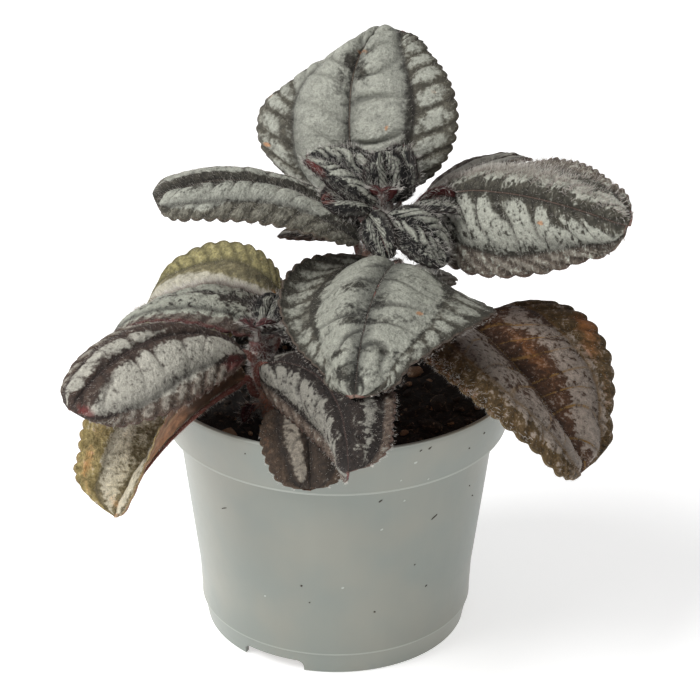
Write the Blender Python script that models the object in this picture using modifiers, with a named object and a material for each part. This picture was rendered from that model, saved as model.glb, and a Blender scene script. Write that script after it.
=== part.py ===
"""Friendship plant (a silver-banded Pilea) in its thin-walled nursery pot.

Two leafy shoots stand in potting soil inside a moulded pot. Every large leaf is a piece of its
own, with its stalk, midrib ridge and toothed margin. The small young leaves at each shoot's tip
are fused to that shoot's stem. Sizes below are in millimetres and degrees.
"""
import math

import bmesh
import bpy
import numpy as np
from mathutils import Matrix, Vector

MM = 0.001

# Pot
POT_HEIGHT = 90.8
RIM_RADIUS = 60.0
BAND_BOTTOM_RADIUS = 55.4
BAND_BOTTOM_Z = 72.6
WALL_TOP_RADIUS = 51.7
WALL_LOW_RADIUS = 45.3
WALL_LOW_Z = 20.0
FOOT_LINE_RADIUS = 44.6
FOOT_LINE_Z = 7.6
FOOT_RADIUS = 43.0
FOOT_RING_WIDTH = 1.8
FOOT_DRAFT = 0.4
WALL = 1.3
RIM_ROUNDING = 0.5
RIM_INSET = 0.3
BAND_STEP = 0.2
FLOOR_UNDERSIDE_Z = 4.6
FLOOR_TOP_Z = 6.2
TURN_STEPS = 44
SHARP_ANGLE = 35
NOTCH_COUNT = 3
NOTCH_HEADING = -118.0
NOTCH_WIDTH = 21.8
NOTCH_HEIGHT = 3.8
NOTCH_REACH = 12.0
NOTCH_ROUNDING = 2.2
NOTCH_ROUNDING_STEPS = 3
DRAIN_COUNT = 6
DRAIN_RADIUS = 3.0
DRAIN_CIRCLE_RADIUS = 30.0
DRAIN_SIDES = 10
DRAIN_HEADING = 34.0
CUT_ABOVE = 5.0

# Soil
SOIL_Z = 84.6
SOIL_GAP = 0.45
STEP_GAP = 0.9
SOIL_STEPS = 32
SOIL_RINGS = 5
SOIL_EDGE = 1.0
HOLE_GAP = 0.5
HOLE_SIDES = 16
# Each wave of the soil's surface: height, length across, length away from the camera, phase
SOIL_WAVES = [(0.55, 30.0, 33.0, 0.7), (0.35, 7.6, 6.4, 2.1)]

# Stems and stalks
TOUCH_GAP = 0.3
STEM_ROOT_Z = 73.0
STEM_STEPS_PER_SPAN = 2
STALK_RADIUS = 1.5
STALK_AT_BLADE_SHARE = 0.833
STALK_STEPS = 4
STALK_BEND_SHARE = 0.38
MIDRIB_END_RADIUS = 0.5
MIDRIB_STOPS = (0.15, 0.32, 0.5)
RIDGE_SINK = 0.1
YOUNG_STALK_RADIUS = 1.1
YOUNG_STALK_STEPS = 2
YOUNG_STALK_DROP = 1.5
YOUNG_MIDRIB_STOPS = (0.2, 0.4)

# Leaf blades
BLADE_THICKNESS = 0.8
COLUMNS = (0.31, 0.62, 1.0)
SLOPE_STEPS = 8
MARGIN_CUTS = 3
YOUNG_MARGIN_CUTS = 1
YOUNG_ROWS = 6
TOOTH_DEPTH = 0.055
TOOTH_LEAN = 0.3
LAST_TOOTH = 0.995
TAPER_START = 0.45
TAPER_END = 0.9

PURPLE_GREEN = (0.075, 0.07, 0.06)
PALE_SILVER = (0.35, 0.38, 0.34)
BRONZE = (0.16, 0.11, 0.06)
OLD_YELLOW = (0.36, 0.30, 0.16)
STEM_PINK = (0.30, 0.17, 0.12)
PLASTIC_GREY = (0.33, 0.36, 0.34)
SOIL_BLACK = (0.02, 0.015, 0.012)

STEMS = {
    "main_stem": dict(
        points=[(11, 5, STEM_ROOT_Z), (11, 5, 88), (11.5, 3, 108), (12, 1, 130), (15.5, 0, 145)],
        radius=3.4,
        tip_radius=4.4,
    ),
    "side_shoot": dict(
        points=[(-20, -26, STEM_ROOT_Z), (-20, -26, 87.5), (-22.5, -24.5, 96), (-24, -21.5, 109)],
        radius=3.8,
        tip_radius=3.4,
    ),
}

# A leaf's midrib leaves its base at a heading (0 is right, 90 is away, -90 is to the front) and a
# rise above level, and turns by turn and bend on the way to its tip. Roll and twist turn the blade
# about the midrib. Each half has three slopes across it, at midrib, middle and margin, and may
# have three others at the tip. Shape holds the fullness of the outline towards base and tip.
LARGE_LEAVES = {
    "leaf_top_back": dict(
        stem="main_stem", node_z=138, base=(2, 16, 142), heading=91, turn=-35, rise=94, bend=-88,
        roll=-1, twist=10, length=65, width=73, left=(-5, -28, -50), right=(4, 11, -14),
        shape=(0.47, 0.68), left_taper=0.55, rows=10, colour=PALE_SILVER,
    ),
    "leaf_top_left": dict(
        stem="main_stem", node_z=134, base=(8, -7, 138), heading=168, turn=23, rise=39, bend=-57,
        roll=6, twist=-14, length=69, width=40, left=(10, -6, -48), right=(17, -11, -23),
        shape=(0.34, 0.35), rows=10, colour=PALE_SILVER,
    ),
    "leaf_top_right": dict(
        stem="main_stem", node_z=137, base=(32, 12.5, 143), heading=-47, turn=23, rise=22, bend=-30,
        roll=23, twist=36, length=71, width=50, left=(33, -38, -17), right=(-26, -33, -19),
        shape=(0.30, 0.56), rows=10, colour=PALE_SILVER,
    ),
    "leaf_top_right_back": dict(
        stem="main_stem", node_z=129, base=(29, 20.5, 140.5), heading=41, turn=-3, rise=13, bend=-19,
        roll=-16, twist=17, length=42, width=24, left=(10, -3, -21), right=(15, 22, -16),
        shape=(0.65, 0.45), rows=8, colour=PURPLE_GREEN,
    ),
    "leaf_middle_front": dict(
        stem="main_stem", node_z=127, base=(19, -15, 133), heading=-110, turn=14, rise=14, bend=-64,
        roll=-8, twist=27, length=63, width=74, left=(5, -17, 11), right=(13, -30, 96),
        left_tip=(6, -23, 6), right_tip=(5, -44, 5), shape=(0.30, 0.78), rows=10, colour=PALE_SILVER,
    ),
    "leaf_middle_back": dict(
        stem="main_stem", node_z=124, base=(4, 9, 131), heading=158, turn=0, rise=4, bend=-22,
        roll=0, twist=0, length=25, width=15, left=(10, 0, -15), right=(10, 0, -15),
        shape=(0.6, 0.5), rows=7, colour=PURPLE_GREEN,
    ),
    "leaf_low_right": dict(
        stem="main_stem", node_z=103, base=(40, -2, 106.5), heading=-65, turn=25, rise=10, bend=-70,
        roll=-2, twist=-14, length=71, width=70, left=(10, 14, 2), right=(13, 19, -59),
        shape=(0.33, 0.50), rows=10, colour=BRONZE,
    ),
    "leaf_low_left_back": dict(
        stem="main_stem", node_z=106, base=(-18, 5, 109.5), heading=154, turn=-1, rise=-3, bend=-17,
        roll=-25, twist=-2, length=51, width=47, left=(10, 1, -10), right=(8, 3, -1),
        shape=(0.60, 0.45), rows=9, colour=OLD_YELLOW,
    ),
    "leaf_low_back": dict(
        stem="main_stem", node_z=97, base=(15, 16, 100), heading=75, turn=0, rise=20, bend=-50,
        roll=0, twist=0, length=46, width=38, left=(10, 0, -15), right=(10, 0, -15),
        shape=(0.55, 0.5), rows=9, colour=PALE_SILVER,
    ),
    "leaf_lowest_back": dict(
        stem="main_stem", node_z=92, base=(2, 13, 96), heading=135, turn=0, rise=22, bend=-55,
        roll=0, twist=0, length=46, width=34, left=(10, 0, -15), right=(10, 0, -15),
        shape=(0.6, 0.5), rows=9, colour=PURPLE_GREEN,
    ),
    "leaf_side_left": dict(
        stem="side_shoot", node_z=105.5, base=(-27.5, -33, 110), heading=212, turn=5, rise=42, bend=-87,
        roll=-14, twist=-4, length=68, width=46, left=(5, -17, -26), right=(12, -22, -27),
        shape=(0.70, 0.46), right_share=0.68, rows=10, colour=PALE_SILVER,
    ),
    "leaf_side_upper": dict(
        stem="side_shoot", node_z=102, base=(-19, -9, 111), heading=172, turn=8, rise=33, bend=-81,
        roll=-4, twist=28, length=57, width=36, left=(14, -22, -31), right=(12, -19, -51),
        shape=(0.33, 0.59), rows=9, colour=PURPLE_GREEN,
    ),
    "leaf_side_old": dict(
        stem="side_shoot", node_z=93, base=(-28.5, -28.5, 99), heading=221, turn=12, rise=-9, bend=-34,
        roll=2, twist=-38, length=62, width=52, left=(54, 85, 44), right=(8, 12, 2),
        left_tip=(103, 71, 114), right_tip=(8, 12, 3), shape=(0.60, 0.51), rows=10,
        colour=OLD_YELLOW,
    ),
    "leaf_side_front": dict(
        stem="side_shoot", node_z=97, base=(-23.5, -30.5, 105), heading=-39, turn=-53, rise=26, bend=-60,
        roll=13, twist=29, length=71, width=36, left=(-19, -15, -24), right=(-13, -55, -38),
        shape=(0.37, 0.36), rows=10, colour=PURPLE_GREEN,
    ),
    "leaf_side_low": dict(
        stem="side_shoot", node_z=88, base=(-13, -29, 91), heading=-76, turn=-13, rise=26, bend=-67,
        roll=3, twist=7, length=48, width=30, left=(3, 6, -18), right=(1, 6, -23),
        shape=(0.64, 0.41), rows=9, colour=BRONZE,
    ),
}

YOUNG_LEAVES = {
    "main_stem": [
        dict(base=(14, -1, 147), heading=155, turn=-4, rise=50, bend=-58, roll=-22, twist=4,
             length=30, width=24, left=(13, -20, 29), right=(18, 0, 8),
             left_tip=(14, 10, 103), right_tip=(14, -21, 2), shape=(0.62, 0.59)),
        dict(base=(19.5, 5, 145), heading=80, turn=-8, rise=74, bend=-8, roll=2, twist=-15,
             length=18, width=17, left=(31, 35, 21), right=(30, 32, 21), shape=(0.61, 0.50)),
        dict(base=(10, -5, 144.5), heading=-72, turn=25, rise=-2, bend=-70, roll=22, twist=27,
             length=17, width=12, left=(25, 38, -22), right=(4, 0, -13), shape=(0.57, 0.53)),
        dict(base=(14.5, -9, 145), heading=-14, turn=5, rise=17, bend=-95, roll=27, twist=-34,
             length=24, width=22, left=(14, 2, -25), right=(-8, -49, -43), shape=(0.78, 0.36)),
        dict(base=(24.5, 2.5, 144), heading=13, turn=-8, rise=55, bend=-80, roll=-19, twist=-15,
             length=14, width=8, left=(20, 0, -20), right=(28, 28, -14), shape=(0.65, 0.49)),
        dict(base=(14.5, -1, 147), heading=-95, turn=0, rise=62, bend=-40, roll=0, twist=0,
             length=11, width=10, left=(28, 22, 10), right=(28, 22, 10), shape=(0.6, 0.5)),
        dict(base=(21, -1.5, 143.5), heading=-2, turn=8, rise=30, bend=-55, roll=-14, twist=0,
             length=17, width=13, left=(16, 4, -20), right=(14, -8, -24), shape=(0.6, 0.5)),
        dict(base=(16.5, 1, 146), heading=112, turn=4, rise=78, bend=-24, roll=-4, twist=0,
             length=17, width=17, left=(18, 8, -10), right=(18, 8, -10), shape=(0.55, 0.5)),
        dict(base=(11, -3, 146), heading=188, turn=6, rise=30, bend=-34, roll=-34, twist=0,
             length=17, width=14, left=(16, 4, -20), right=(16, 4, -20), shape=(0.6, 0.5)),
        dict(base=(17, -7, 140), heading=-38, turn=6, rise=4, bend=-46, roll=8, twist=0,
             length=21, width=16, left=(12, 0, -18), right=(12, 0, -18), shape=(0.6, 0.5)),
    ],
    "side_shoot": [
        dict(base=(-23.5, -23.5, 112), heading=-100, turn=0, rise=62, bend=-50, roll=0, twist=0,
             length=13, width=12, left=(25, 10, -10), right=(25, 10, -10), shape=(0.6, 0.5)),
        dict(base=(-22, -23, 111), heading=-38, turn=0, rise=44, bend=-70, roll=-10, twist=0,
             length=17, width=13, left=(20, 6, -14), right=(20, 6, -14), shape=(0.6, 0.5)),
        dict(base=(-23, -20, 111), heading=60, turn=0, rise=62, bend=-30, roll=0, twist=0,
             length=13, width=12, left=(25, 10, -10), right=(25, 10, -10), shape=(0.6, 0.5)),
        dict(base=(-26, -27, 88.5), heading=-110, turn=0, rise=0, bend=-30, roll=0, twist=0,
             length=8, width=6, left=(40, 50, 60), right=(40, 50, 60), shape=(0.5, 0.5)),
    ],
}


def clear_scene():
    for obj in list(bpy.data.objects):
        bpy.data.objects.remove(obj, do_unlink=True)


def make_collection(name):
    collection = bpy.data.collections.new(name)
    bpy.context.scene.collection.children.link(collection)
    return collection


def make_material(name, colour, roughness):
    material = bpy.data.materials.new(name)
    material.use_nodes = True
    shader = material.node_tree.nodes["Principled BSDF"]
    shader.inputs["Base Color"].default_value = (*colour, 1.0)
    shader.inputs["Roughness"].default_value = roughness
    shader.inputs["Metallic"].default_value = 0.0
    return material


def object_from_bmesh(name, bm, collection, material=None):
    mesh = bpy.data.meshes.new(name)
    bm.to_mesh(mesh)
    bm.free()
    obj = bpy.data.objects.new(name, mesh)
    collection.objects.link(obj)
    if material:
        mesh.materials.append(material)
    return obj


def freeze(obj):
    """Put the evaluated mesh in place of the mesh and its modifiers."""
    depsgraph = bpy.context.evaluated_depsgraph_get()
    evaluated = bpy.data.meshes.new_from_object(obj.evaluated_get(depsgraph))
    obj.modifiers.clear()
    obj.data = evaluated


def as_cutter(obj):
    obj.hide_render = True
    obj.display_type = "WIRE"
    return obj


def add_boolean(obj, other, operation):
    modifier = obj.modifiers.new(operation.lower(), "BOOLEAN")
    modifier.operation = operation
    modifier.solver = "EXACT"
    modifier.object = other


def turned(name, profile, steps, collection, material):
    """Turn a profile of (radius, height) about the Z axis into a closed solid."""
    bm = bmesh.new()
    verts = [bm.verts.new((r * MM, 0.0, z * MM)) for r, z in profile]
    for lower, upper in zip(verts, verts[1:]):
        bm.edges.new((lower, upper))
    obj = object_from_bmesh(name, bm, collection, material)
    screw = obj.modifiers.new("turn", "SCREW")
    screw.steps = steps
    screw.render_steps = steps
    screw.use_merge_vertices = True
    screw.merge_threshold = 0.00005
    freeze(obj)
    return obj


def recalculate(obj, in_triangles=False):
    bm = bmesh.new()
    bm.from_mesh(obj.data)
    bmesh.ops.remove_doubles(bm, verts=bm.verts, dist=0.00001)
    bmesh.ops.recalc_face_normals(bm, faces=bm.faces)
    if in_triangles:
        bmesh.ops.triangulate(bm, faces=bm.faces)
    bm.to_mesh(obj.data)
    bm.free()


def shade(obj):
    obj.data.shade_smooth()
    obj.data.set_sharp_from_angle(angle=math.radians(SHARP_ANGLE))


def finish(obj, material):
    obj.data.materials.clear()
    obj.data.materials.append(material)
    shade(obj)


def pot_profile():
    """Inside of the floor, up the inner wall, over the rim, down the outside, under the floor."""
    foot_inner = FOOT_RADIUS - FOOT_RING_WIDTH
    rim_inner = RIM_RADIUS - WALL - RIM_INSET
    inside = [
        (0, FLOOR_TOP_Z),
        (FOOT_LINE_RADIUS - WALL, FLOOR_TOP_Z),
        (WALL_LOW_RADIUS - WALL, WALL_LOW_Z),
        (WALL_TOP_RADIUS - WALL, BAND_BOTTOM_Z - WALL),
        (BAND_BOTTOM_RADIUS - WALL, BAND_BOTTOM_Z + WALL),
    ]
    rim = [
        (rim_inner, POT_HEIGHT - RIM_ROUNDING),
        (rim_inner + RIM_ROUNDING, POT_HEIGHT),
        (RIM_RADIUS - RIM_ROUNDING, POT_HEIGHT),
        (RIM_RADIUS, POT_HEIGHT - RIM_ROUNDING),
    ]
    outside = [
        (BAND_BOTTOM_RADIUS, BAND_BOTTOM_Z),
        (WALL_TOP_RADIUS, BAND_BOTTOM_Z - BAND_STEP),
        (WALL_LOW_RADIUS, WALL_LOW_Z),
        (FOOT_LINE_RADIUS, FOOT_LINE_Z),
        (FOOT_RADIUS, 0),
    ]
    under = [
        (foot_inner, 0),
        (foot_inner + FOOT_DRAFT, FLOOR_UNDERSIDE_Z),
        (0, FLOOR_UNDERSIDE_Z),
    ]
    return inside + rim + outside + under


def pot_inner_radius(z):
    heights = [FLOOR_TOP_Z, WALL_LOW_Z, BAND_BOTTOM_Z - WALL, BAND_BOTTOM_Z + WALL, POT_HEIGHT]
    radii = [FOOT_LINE_RADIUS, WALL_LOW_RADIUS, WALL_TOP_RADIUS, BAND_BOTTOM_RADIUS, RIM_RADIUS - RIM_INSET]
    return float(np.interp(z, heights, radii)) - WALL


def notch_cutter(index, cutters):
    """A rounded block that cuts one water notch in the foot ring."""
    bm = bmesh.new()
    bmesh.ops.create_cube(bm, size=1.0)
    bmesh.ops.scale(bm, verts=bm.verts, vec=(NOTCH_REACH * MM, NOTCH_WIDTH * MM, 2 * NOTCH_HEIGHT * MM))
    bmesh.ops.bevel(
        bm,
        geom=[e for e in bm.edges if abs(e.verts[0].co.x - e.verts[1].co.x) > MM],
        offset=NOTCH_ROUNDING * MM,
        segments=NOTCH_ROUNDING_STEPS,
        profile=0.5,
        affect="EDGES",
        material=-1,
    )
    cutter = object_from_bmesh("notch_cutter_%d" % index, bm, cutters)
    heading = math.radians(NOTCH_HEADING + index * 360 / NOTCH_COUNT)
    cutter.location = (FOOT_RADIUS * MM * math.cos(heading), FOOT_RADIUS * MM * math.sin(heading), 0)
    cutter.rotation_euler = (0, 0, heading)
    return as_cutter(cutter)


def round_cutter(name, x, y, radius, bottom, top, sides, cutters):
    bm = bmesh.new()
    bmesh.ops.create_cone(
        bm, cap_ends=True, segments=sides, radius1=radius * MM, radius2=radius * MM, depth=(top - bottom) * MM
    )
    cutter = object_from_bmesh(name, bm, cutters)
    cutter.location = (x * MM, y * MM, (top + bottom) / 2 * MM)
    return as_cutter(cutter)


def make_pot(collection, cutters):
    plastic = make_material("grey_green_plastic", PLASTIC_GREY, 0.38)
    pot = turned("pot", pot_profile(), TURN_STEPS, collection, plastic)
    recalculate(pot)
    for index in range(NOTCH_COUNT):
        add_boolean(pot, notch_cutter(index, cutters), "DIFFERENCE")
    for index in range(DRAIN_COUNT):
        angle = math.radians(DRAIN_HEADING + index * 360 / DRAIN_COUNT)
        x = DRAIN_CIRCLE_RADIUS * math.cos(angle)
        y = DRAIN_CIRCLE_RADIUS * math.sin(angle)
        drain = round_cutter(
            "drain_cutter_%d" % index, x, y, DRAIN_RADIUS, 0, FLOOR_TOP_Z + CUT_ABOVE, DRAIN_SIDES, cutters
        )
        add_boolean(pot, drain, "DIFFERENCE")
    freeze(pot)
    shade(pot)
    return pot


def soil_height(x, y):
    """Uneven surface of the potting soil."""
    z = SOIL_Z
    for height, across, away, phase in SOIL_WAVES:
        z += height * math.sin(2 * math.pi * x / across + phase) * math.cos(2 * math.pi * y / away - phase)
    return z


def make_soil(collection, cutters):
    rim_radius = pot_inner_radius(SOIL_Z) - SOIL_GAP
    top = [(rim_radius * i / SOIL_RINGS, SOIL_Z) for i in range(SOIL_RINGS + 1)]
    inset = WALL + SOIL_GAP
    sides = [
        (BAND_BOTTOM_RADIUS - inset, BAND_BOTTOM_Z + WALL + STEP_GAP),
        (WALL_TOP_RADIUS - inset, BAND_BOTTOM_Z - WALL + STEP_GAP),
        (WALL_LOW_RADIUS - inset, WALL_LOW_Z),
        (FOOT_LINE_RADIUS - inset, FLOOR_TOP_Z + SOIL_GAP),
    ]
    bark = make_material("potting_soil", SOIL_BLACK, 0.95)
    soil = turned("soil", top + sides + [(0, FLOOR_TOP_Z + SOIL_GAP)], SOIL_STEPS, collection, bark)
    for vert in soil.data.vertices:
        x, y, z = vert.co / MM
        if z > BAND_BOTTOM_Z + WALL + STEP_GAP and math.hypot(x, y) < rim_radius - SOIL_EDGE:
            vert.co.z = soil_height(x, y) * MM
    recalculate(soil, in_triangles=True)
    for name, stem in STEMS.items():
        x, y, _ = stem["points"][0]
        radius = (stem["radius"] + HOLE_GAP) / math.cos(math.pi / HOLE_SIDES)
        hole = round_cutter(
            name + "_hole_cutter", x, y, radius, STEM_ROOT_Z - TOUCH_GAP, SOIL_Z + CUT_ABOVE, HOLE_SIDES, cutters
        )
        add_boolean(soil, hole, "DIFFERENCE")
    freeze(soil)
    return soil


def tube(name, points, radii, collection, bevel_resolution=1):
    """A closed round tube along the points, given in millimetres, made as a curve and meshed."""
    curve = bpy.data.curves.new(name, "CURVE")
    curve.dimensions = "3D"
    curve.bevel_depth = MM
    curve.bevel_resolution = bevel_resolution
    curve.use_fill_caps = True
    spline = curve.splines.new("POLY")
    spline.points.add(len(points) - 1)
    for point, place, radius in zip(spline.points, points, radii):
        point.co = (*(Vector(place) * MM), 1.0)
        point.radius = radius
    curve_object = bpy.data.objects.new(name + "_curve", curve)
    collection.objects.link(curve_object)
    depsgraph = bpy.context.evaluated_depsgraph_get()
    mesh = bpy.data.meshes.new_from_object(curve_object.evaluated_get(depsgraph))
    bpy.data.objects.remove(curve_object, do_unlink=True)
    bm = bmesh.new()
    bm.from_mesh(mesh)
    bmesh.ops.remove_doubles(bm, verts=bm.verts, dist=0.00001)
    bmesh.ops.recalc_face_normals(bm, faces=bm.faces)
    return object_from_bmesh(name, bm, collection)


def phase_integral(start, rate, s):
    """Integral of cos(start + rate * s) from 0 to s."""
    if abs(rate) < 1e-6:
        return s * math.cos(start)
    return (np.sin(start + rate * s) - math.sin(start)) / rate


def midrib(leaf, s):
    """Points of the midrib, its direction, and the blade's side and normal, at shares s."""
    rise, bend = math.radians(leaf["rise"]), math.radians(leaf["bend"])
    heading, turn = math.radians(leaf["heading"]), math.radians(leaf["turn"])
    quarter = math.pi / 2
    half = leaf["length"] / 2
    x = phase_integral(rise + heading, bend + turn, s) + phase_integral(rise - heading, bend - turn, s)
    y = phase_integral(rise + heading - quarter, bend + turn, s)
    y = y - phase_integral(rise - heading - quarter, bend - turn, s)
    z = phase_integral(rise - quarter, bend, s)
    points = np.array(leaf["base"]) + np.stack([half * x, half * y, 2 * half * z], -1)
    a = heading + turn * s
    e = rise + bend * s
    along = np.stack([np.cos(e) * np.cos(a), np.cos(e) * np.sin(a), np.sin(e)], -1)
    side = np.stack([-np.sin(a), np.cos(a), np.zeros_like(a)], -1)
    normal = np.cross(along, side)
    r = np.radians(leaf["roll"] + leaf["twist"] * s)[..., None]
    return points, along, side * np.cos(r) + normal * np.sin(r), normal * np.cos(r) - side * np.sin(r)


def half_width(leaf, side, s):
    """Half width of the blade on one side, which may be narrower or taper early to the tip."""
    a, b = leaf["shape"]
    widest = a / (a + b)
    width = leaf.get(side + "_share", 1.0) * leaf["width"] / 2
    x = np.clip((s - TAPER_START) / (TAPER_END - TAPER_START), 0, 1)
    width = width * (1 - leaf.get(side + "_taper", 0.0) * x * x * (3 - 2 * x))
    return width * s**a * (1 - s) ** b / (widest**a * (1 - widest) ** b)


def slope(leaf, key, s, t):
    """Slope across one half of the blade, a quadratic through its three angles, in radians."""
    at_base = np.array(leaf[key], float)
    at_tip = np.array(leaf.get(key + "_tip", leaf[key]), float)
    a = at_base[:, None] * (1 - s) + at_tip[:, None] * s
    angle = a[0] * (1 - t) * (1 - 2 * t) + a[1] * 4 * t * (1 - t) + a[2] * t * (2 * t - 1)
    return np.radians(angle)


def blade_points(leaf, s, t):
    """Points of the blade at shares s along it and t across it, with t from -1 to 1."""
    points, _, side, normal = midrib(leaf, s)
    across = np.abs(t)
    out = np.zeros_like(s)
    up = np.zeros_like(s)
    for step in range(SLOPE_STEPS):
        at = across * (step + 0.5) / SLOPE_STEPS
        angle = np.where(t > 0, slope(leaf, "left", s, at), slope(leaf, "right", s, at))
        out += np.cos(angle) * across / SLOPE_STEPS
        up += np.sin(angle) * across / SLOPE_STEPS
    width = np.where(t > 0, half_width(leaf, "left", s), half_width(leaf, "right", s))
    return points + (np.sign(t) * out * width)[:, None] * side + (up * width)[:, None] * normal


def row_place(row, rows):
    """Share along the blade of one row, closer together at base and tip."""
    u = row / rows
    return 0.5 * u + 0.5 * (0.5 - 0.5 * math.cos(math.pi * u))


def place_rows_and_columns(bm, rows):
    """Turn the flat grid's coordinates into shares: x across the blade, y along it."""
    stops = (0.0,) + COLUMNS
    count = len(COLUMNS)
    for vert in bm.verts:
        column = round(vert.co.x * 2 * count)
        row = (vert.co.y + 0.5) * rows
        whole = int(row + 1e-6)
        u = row_place(whole, rows)
        v = row_place(min(whole + 1, rows), rows)
        vert.co.x = math.copysign(stops[abs(column)], column)
        vert.co.y = u + (v - u) * (row - whole)


def cut_teeth(bm, rows, cuts):
    """Split the margin's edges and push every second point in, leaning towards the tip."""
    margin = [e for e in bm.edges if all(abs(abs(v.co.x) - 0.5) < 1e-6 for v in e.verts)]
    bmesh.ops.subdivide_edges(bm, edges=margin, cuts=cuts)
    teeth = {}
    for vert in bm.verts:
        if abs(abs(vert.co.x) - 0.5) > 1e-6:
            continue
        index = round((vert.co.y + 0.5) * rows * (cuts + 1))
        teeth[vert] = index
    place_rows_and_columns(bm, rows)
    pitch = 1 / (rows * (cuts + 1))
    for vert, index in teeth.items():
        if index % 2 == 0:
            vert.co.x *= 1 - TOOTH_DEPTH
        else:
            vert.co.y = min(vert.co.y + TOOTH_LEAN * pitch, LAST_TOOTH)


def close_ends(bm):
    for end in (0.0, 1.0):
        row = [v for v in bm.verts if abs(v.co.y - end) < 1e-6]
        bmesh.ops.pointmerge(bm, verts=row, merge_co=(0.0, end, 0.0))


def make_blade(name, leaf, rows, cuts, collection):
    """The blade as a closed sheet, split into the same triangles on both faces."""
    bm = bmesh.new()
    bmesh.ops.create_grid(bm, x_segments=2 * len(COLUMNS), y_segments=rows, size=0.5)
    cut_teeth(bm, rows, cuts)
    close_ends(bm)
    bmesh.ops.triangulate(bm, faces=bm.faces, quad_method="BEAUTY", ngon_method="BEAUTY")
    verts = list(bm.verts)
    s = np.array([v.co.y for v in verts])
    t = np.array([v.co.x for v in verts])
    for vert, place in zip(verts, blade_points(leaf, s, t)):
        vert.co = Vector(place) * MM
    obj = object_from_bmesh(name, bm, collection)
    solidify = obj.modifiers.new("thickness", "SOLIDIFY")
    solidify.thickness = BLADE_THICKNESS * MM
    solidify.offset = 0.0
    freeze(obj)
    recalculate(obj)
    return obj


def stem_axis(stem_name, z):
    points = np.array(smooth_line(STEMS[stem_name]["points"], STEM_STEPS_PER_SPAN))
    return Vector([float(np.interp(z, points[:, 2], points[:, i])) for i in range(3)])


def stem_radius(stem_name, z):
    stem = STEMS[stem_name]
    heights = [stem["points"][0][2], stem["points"][-1][2]]
    return float(np.interp(z, heights, [stem["radius"], stem["tip_radius"]]))


def bezier(p0, p1, p2, p3, u):
    return p0 * (1 - u) ** 3 + p1 * 3 * u * (1 - u) ** 2 + p2 * 3 * u**2 * (1 - u) + p3 * u**3


def stalk_path(leaf, start, first_direction, radius, steps, midrib_stops):
    """Stalk from its start to the blade, then the midrib ridge along the blade's underside."""
    base = Vector(leaf["base"])
    _, along, _, _ = midrib(leaf, np.array([0.0]))
    pull = (base - start).length * STALK_BEND_SHARE
    into_blade = Vector(along[0])
    at_blade = radius * STALK_AT_BLADE_SHARE
    points = []
    radii = []
    for step in range(steps + 1):
        u = step / steps
        points.append(bezier(start, start + first_direction * pull, base - into_blade * pull, base, u))
        radii.append(radius + (at_blade - radius) * u)
    ribs, _, _, normals = midrib(leaf, np.array(midrib_stops))
    for share, rib, up in zip(midrib_stops, ribs, normals):
        here = at_blade + (MIDRIB_END_RADIUS - at_blade) * share / MIDRIB_STOPS[-1]
        points.append(Vector(rib - up * (here - RIDGE_SINK)))
        radii.append(here)
    return points, radii


def young_stalk(stem_name, leaf):
    """A young leaf's stalk starts on the stem's axis."""
    top = STEMS[stem_name]["points"][-1][2]
    start = stem_axis(stem_name, min(leaf["base"][2], top) - YOUNG_STALK_DROP)
    outward = (Vector(leaf["base"]) - start).normalized()
    return stalk_path(leaf, start, outward, YOUNG_STALK_RADIUS, YOUNG_STALK_STEPS, YOUNG_MIDRIB_STOPS)


def seated_stalk(leaf):
    """A large leaf's stalk ends just off the stem's skin, clear of it over its whole end face."""
    stem, z = leaf["stem"], leaf["node_z"]
    axis = stem_axis(stem, z)
    outward = Vector(leaf["base"]) - axis
    outward.z = 0
    outward.normalize()
    lean = abs((stem_axis(stem, z + 1) - stem_axis(stem, z - 1)).dot(outward)) / 2
    reach = stem_radius(stem, z) + TOUCH_GAP + STALK_RADIUS * lean
    points, _ = stalk_path(leaf, axis + outward * reach, outward, STALK_RADIUS, STALK_STEPS, MIDRIB_STOPS)
    first = (points[1] - points[0]).normalized()
    reach += STALK_RADIUS * math.sqrt(max(0.0, 1 - first.dot(outward) ** 2))
    return stalk_path(leaf, axis + outward * reach, outward, STALK_RADIUS, STALK_STEPS, MIDRIB_STOPS)


def make_leaf(name, leaf, rows, cuts, stalk, collection):
    """A blade with its stalk and midrib ridge joined to it."""
    blade = make_blade(name, leaf, rows, cuts, collection)
    tubing = tube(name + "_stalk", *stalk, collection)
    add_boolean(blade, tubing, "UNION")
    freeze(blade)
    bpy.data.objects.remove(tubing, do_unlink=True)
    return blade


def smooth_line(points, per_span):
    """A smooth line through the points, by cubic spans with averaged directions."""
    p = [Vector(q) for q in points]
    slopes = [p[1] - p[0]] + [(p[i + 1] - p[i - 1]) / 2 for i in range(1, len(p) - 1)] + [p[-1] - p[-2]]
    line = []
    for i in range(len(p) - 1):
        for step in range(per_span):
            u = step / per_span
            line.append(bezier(p[i], p[i] + slopes[i] / 3, p[i + 1] - slopes[i + 1] / 3, p[i + 1], u))
    return line + [p[-1]]


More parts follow.
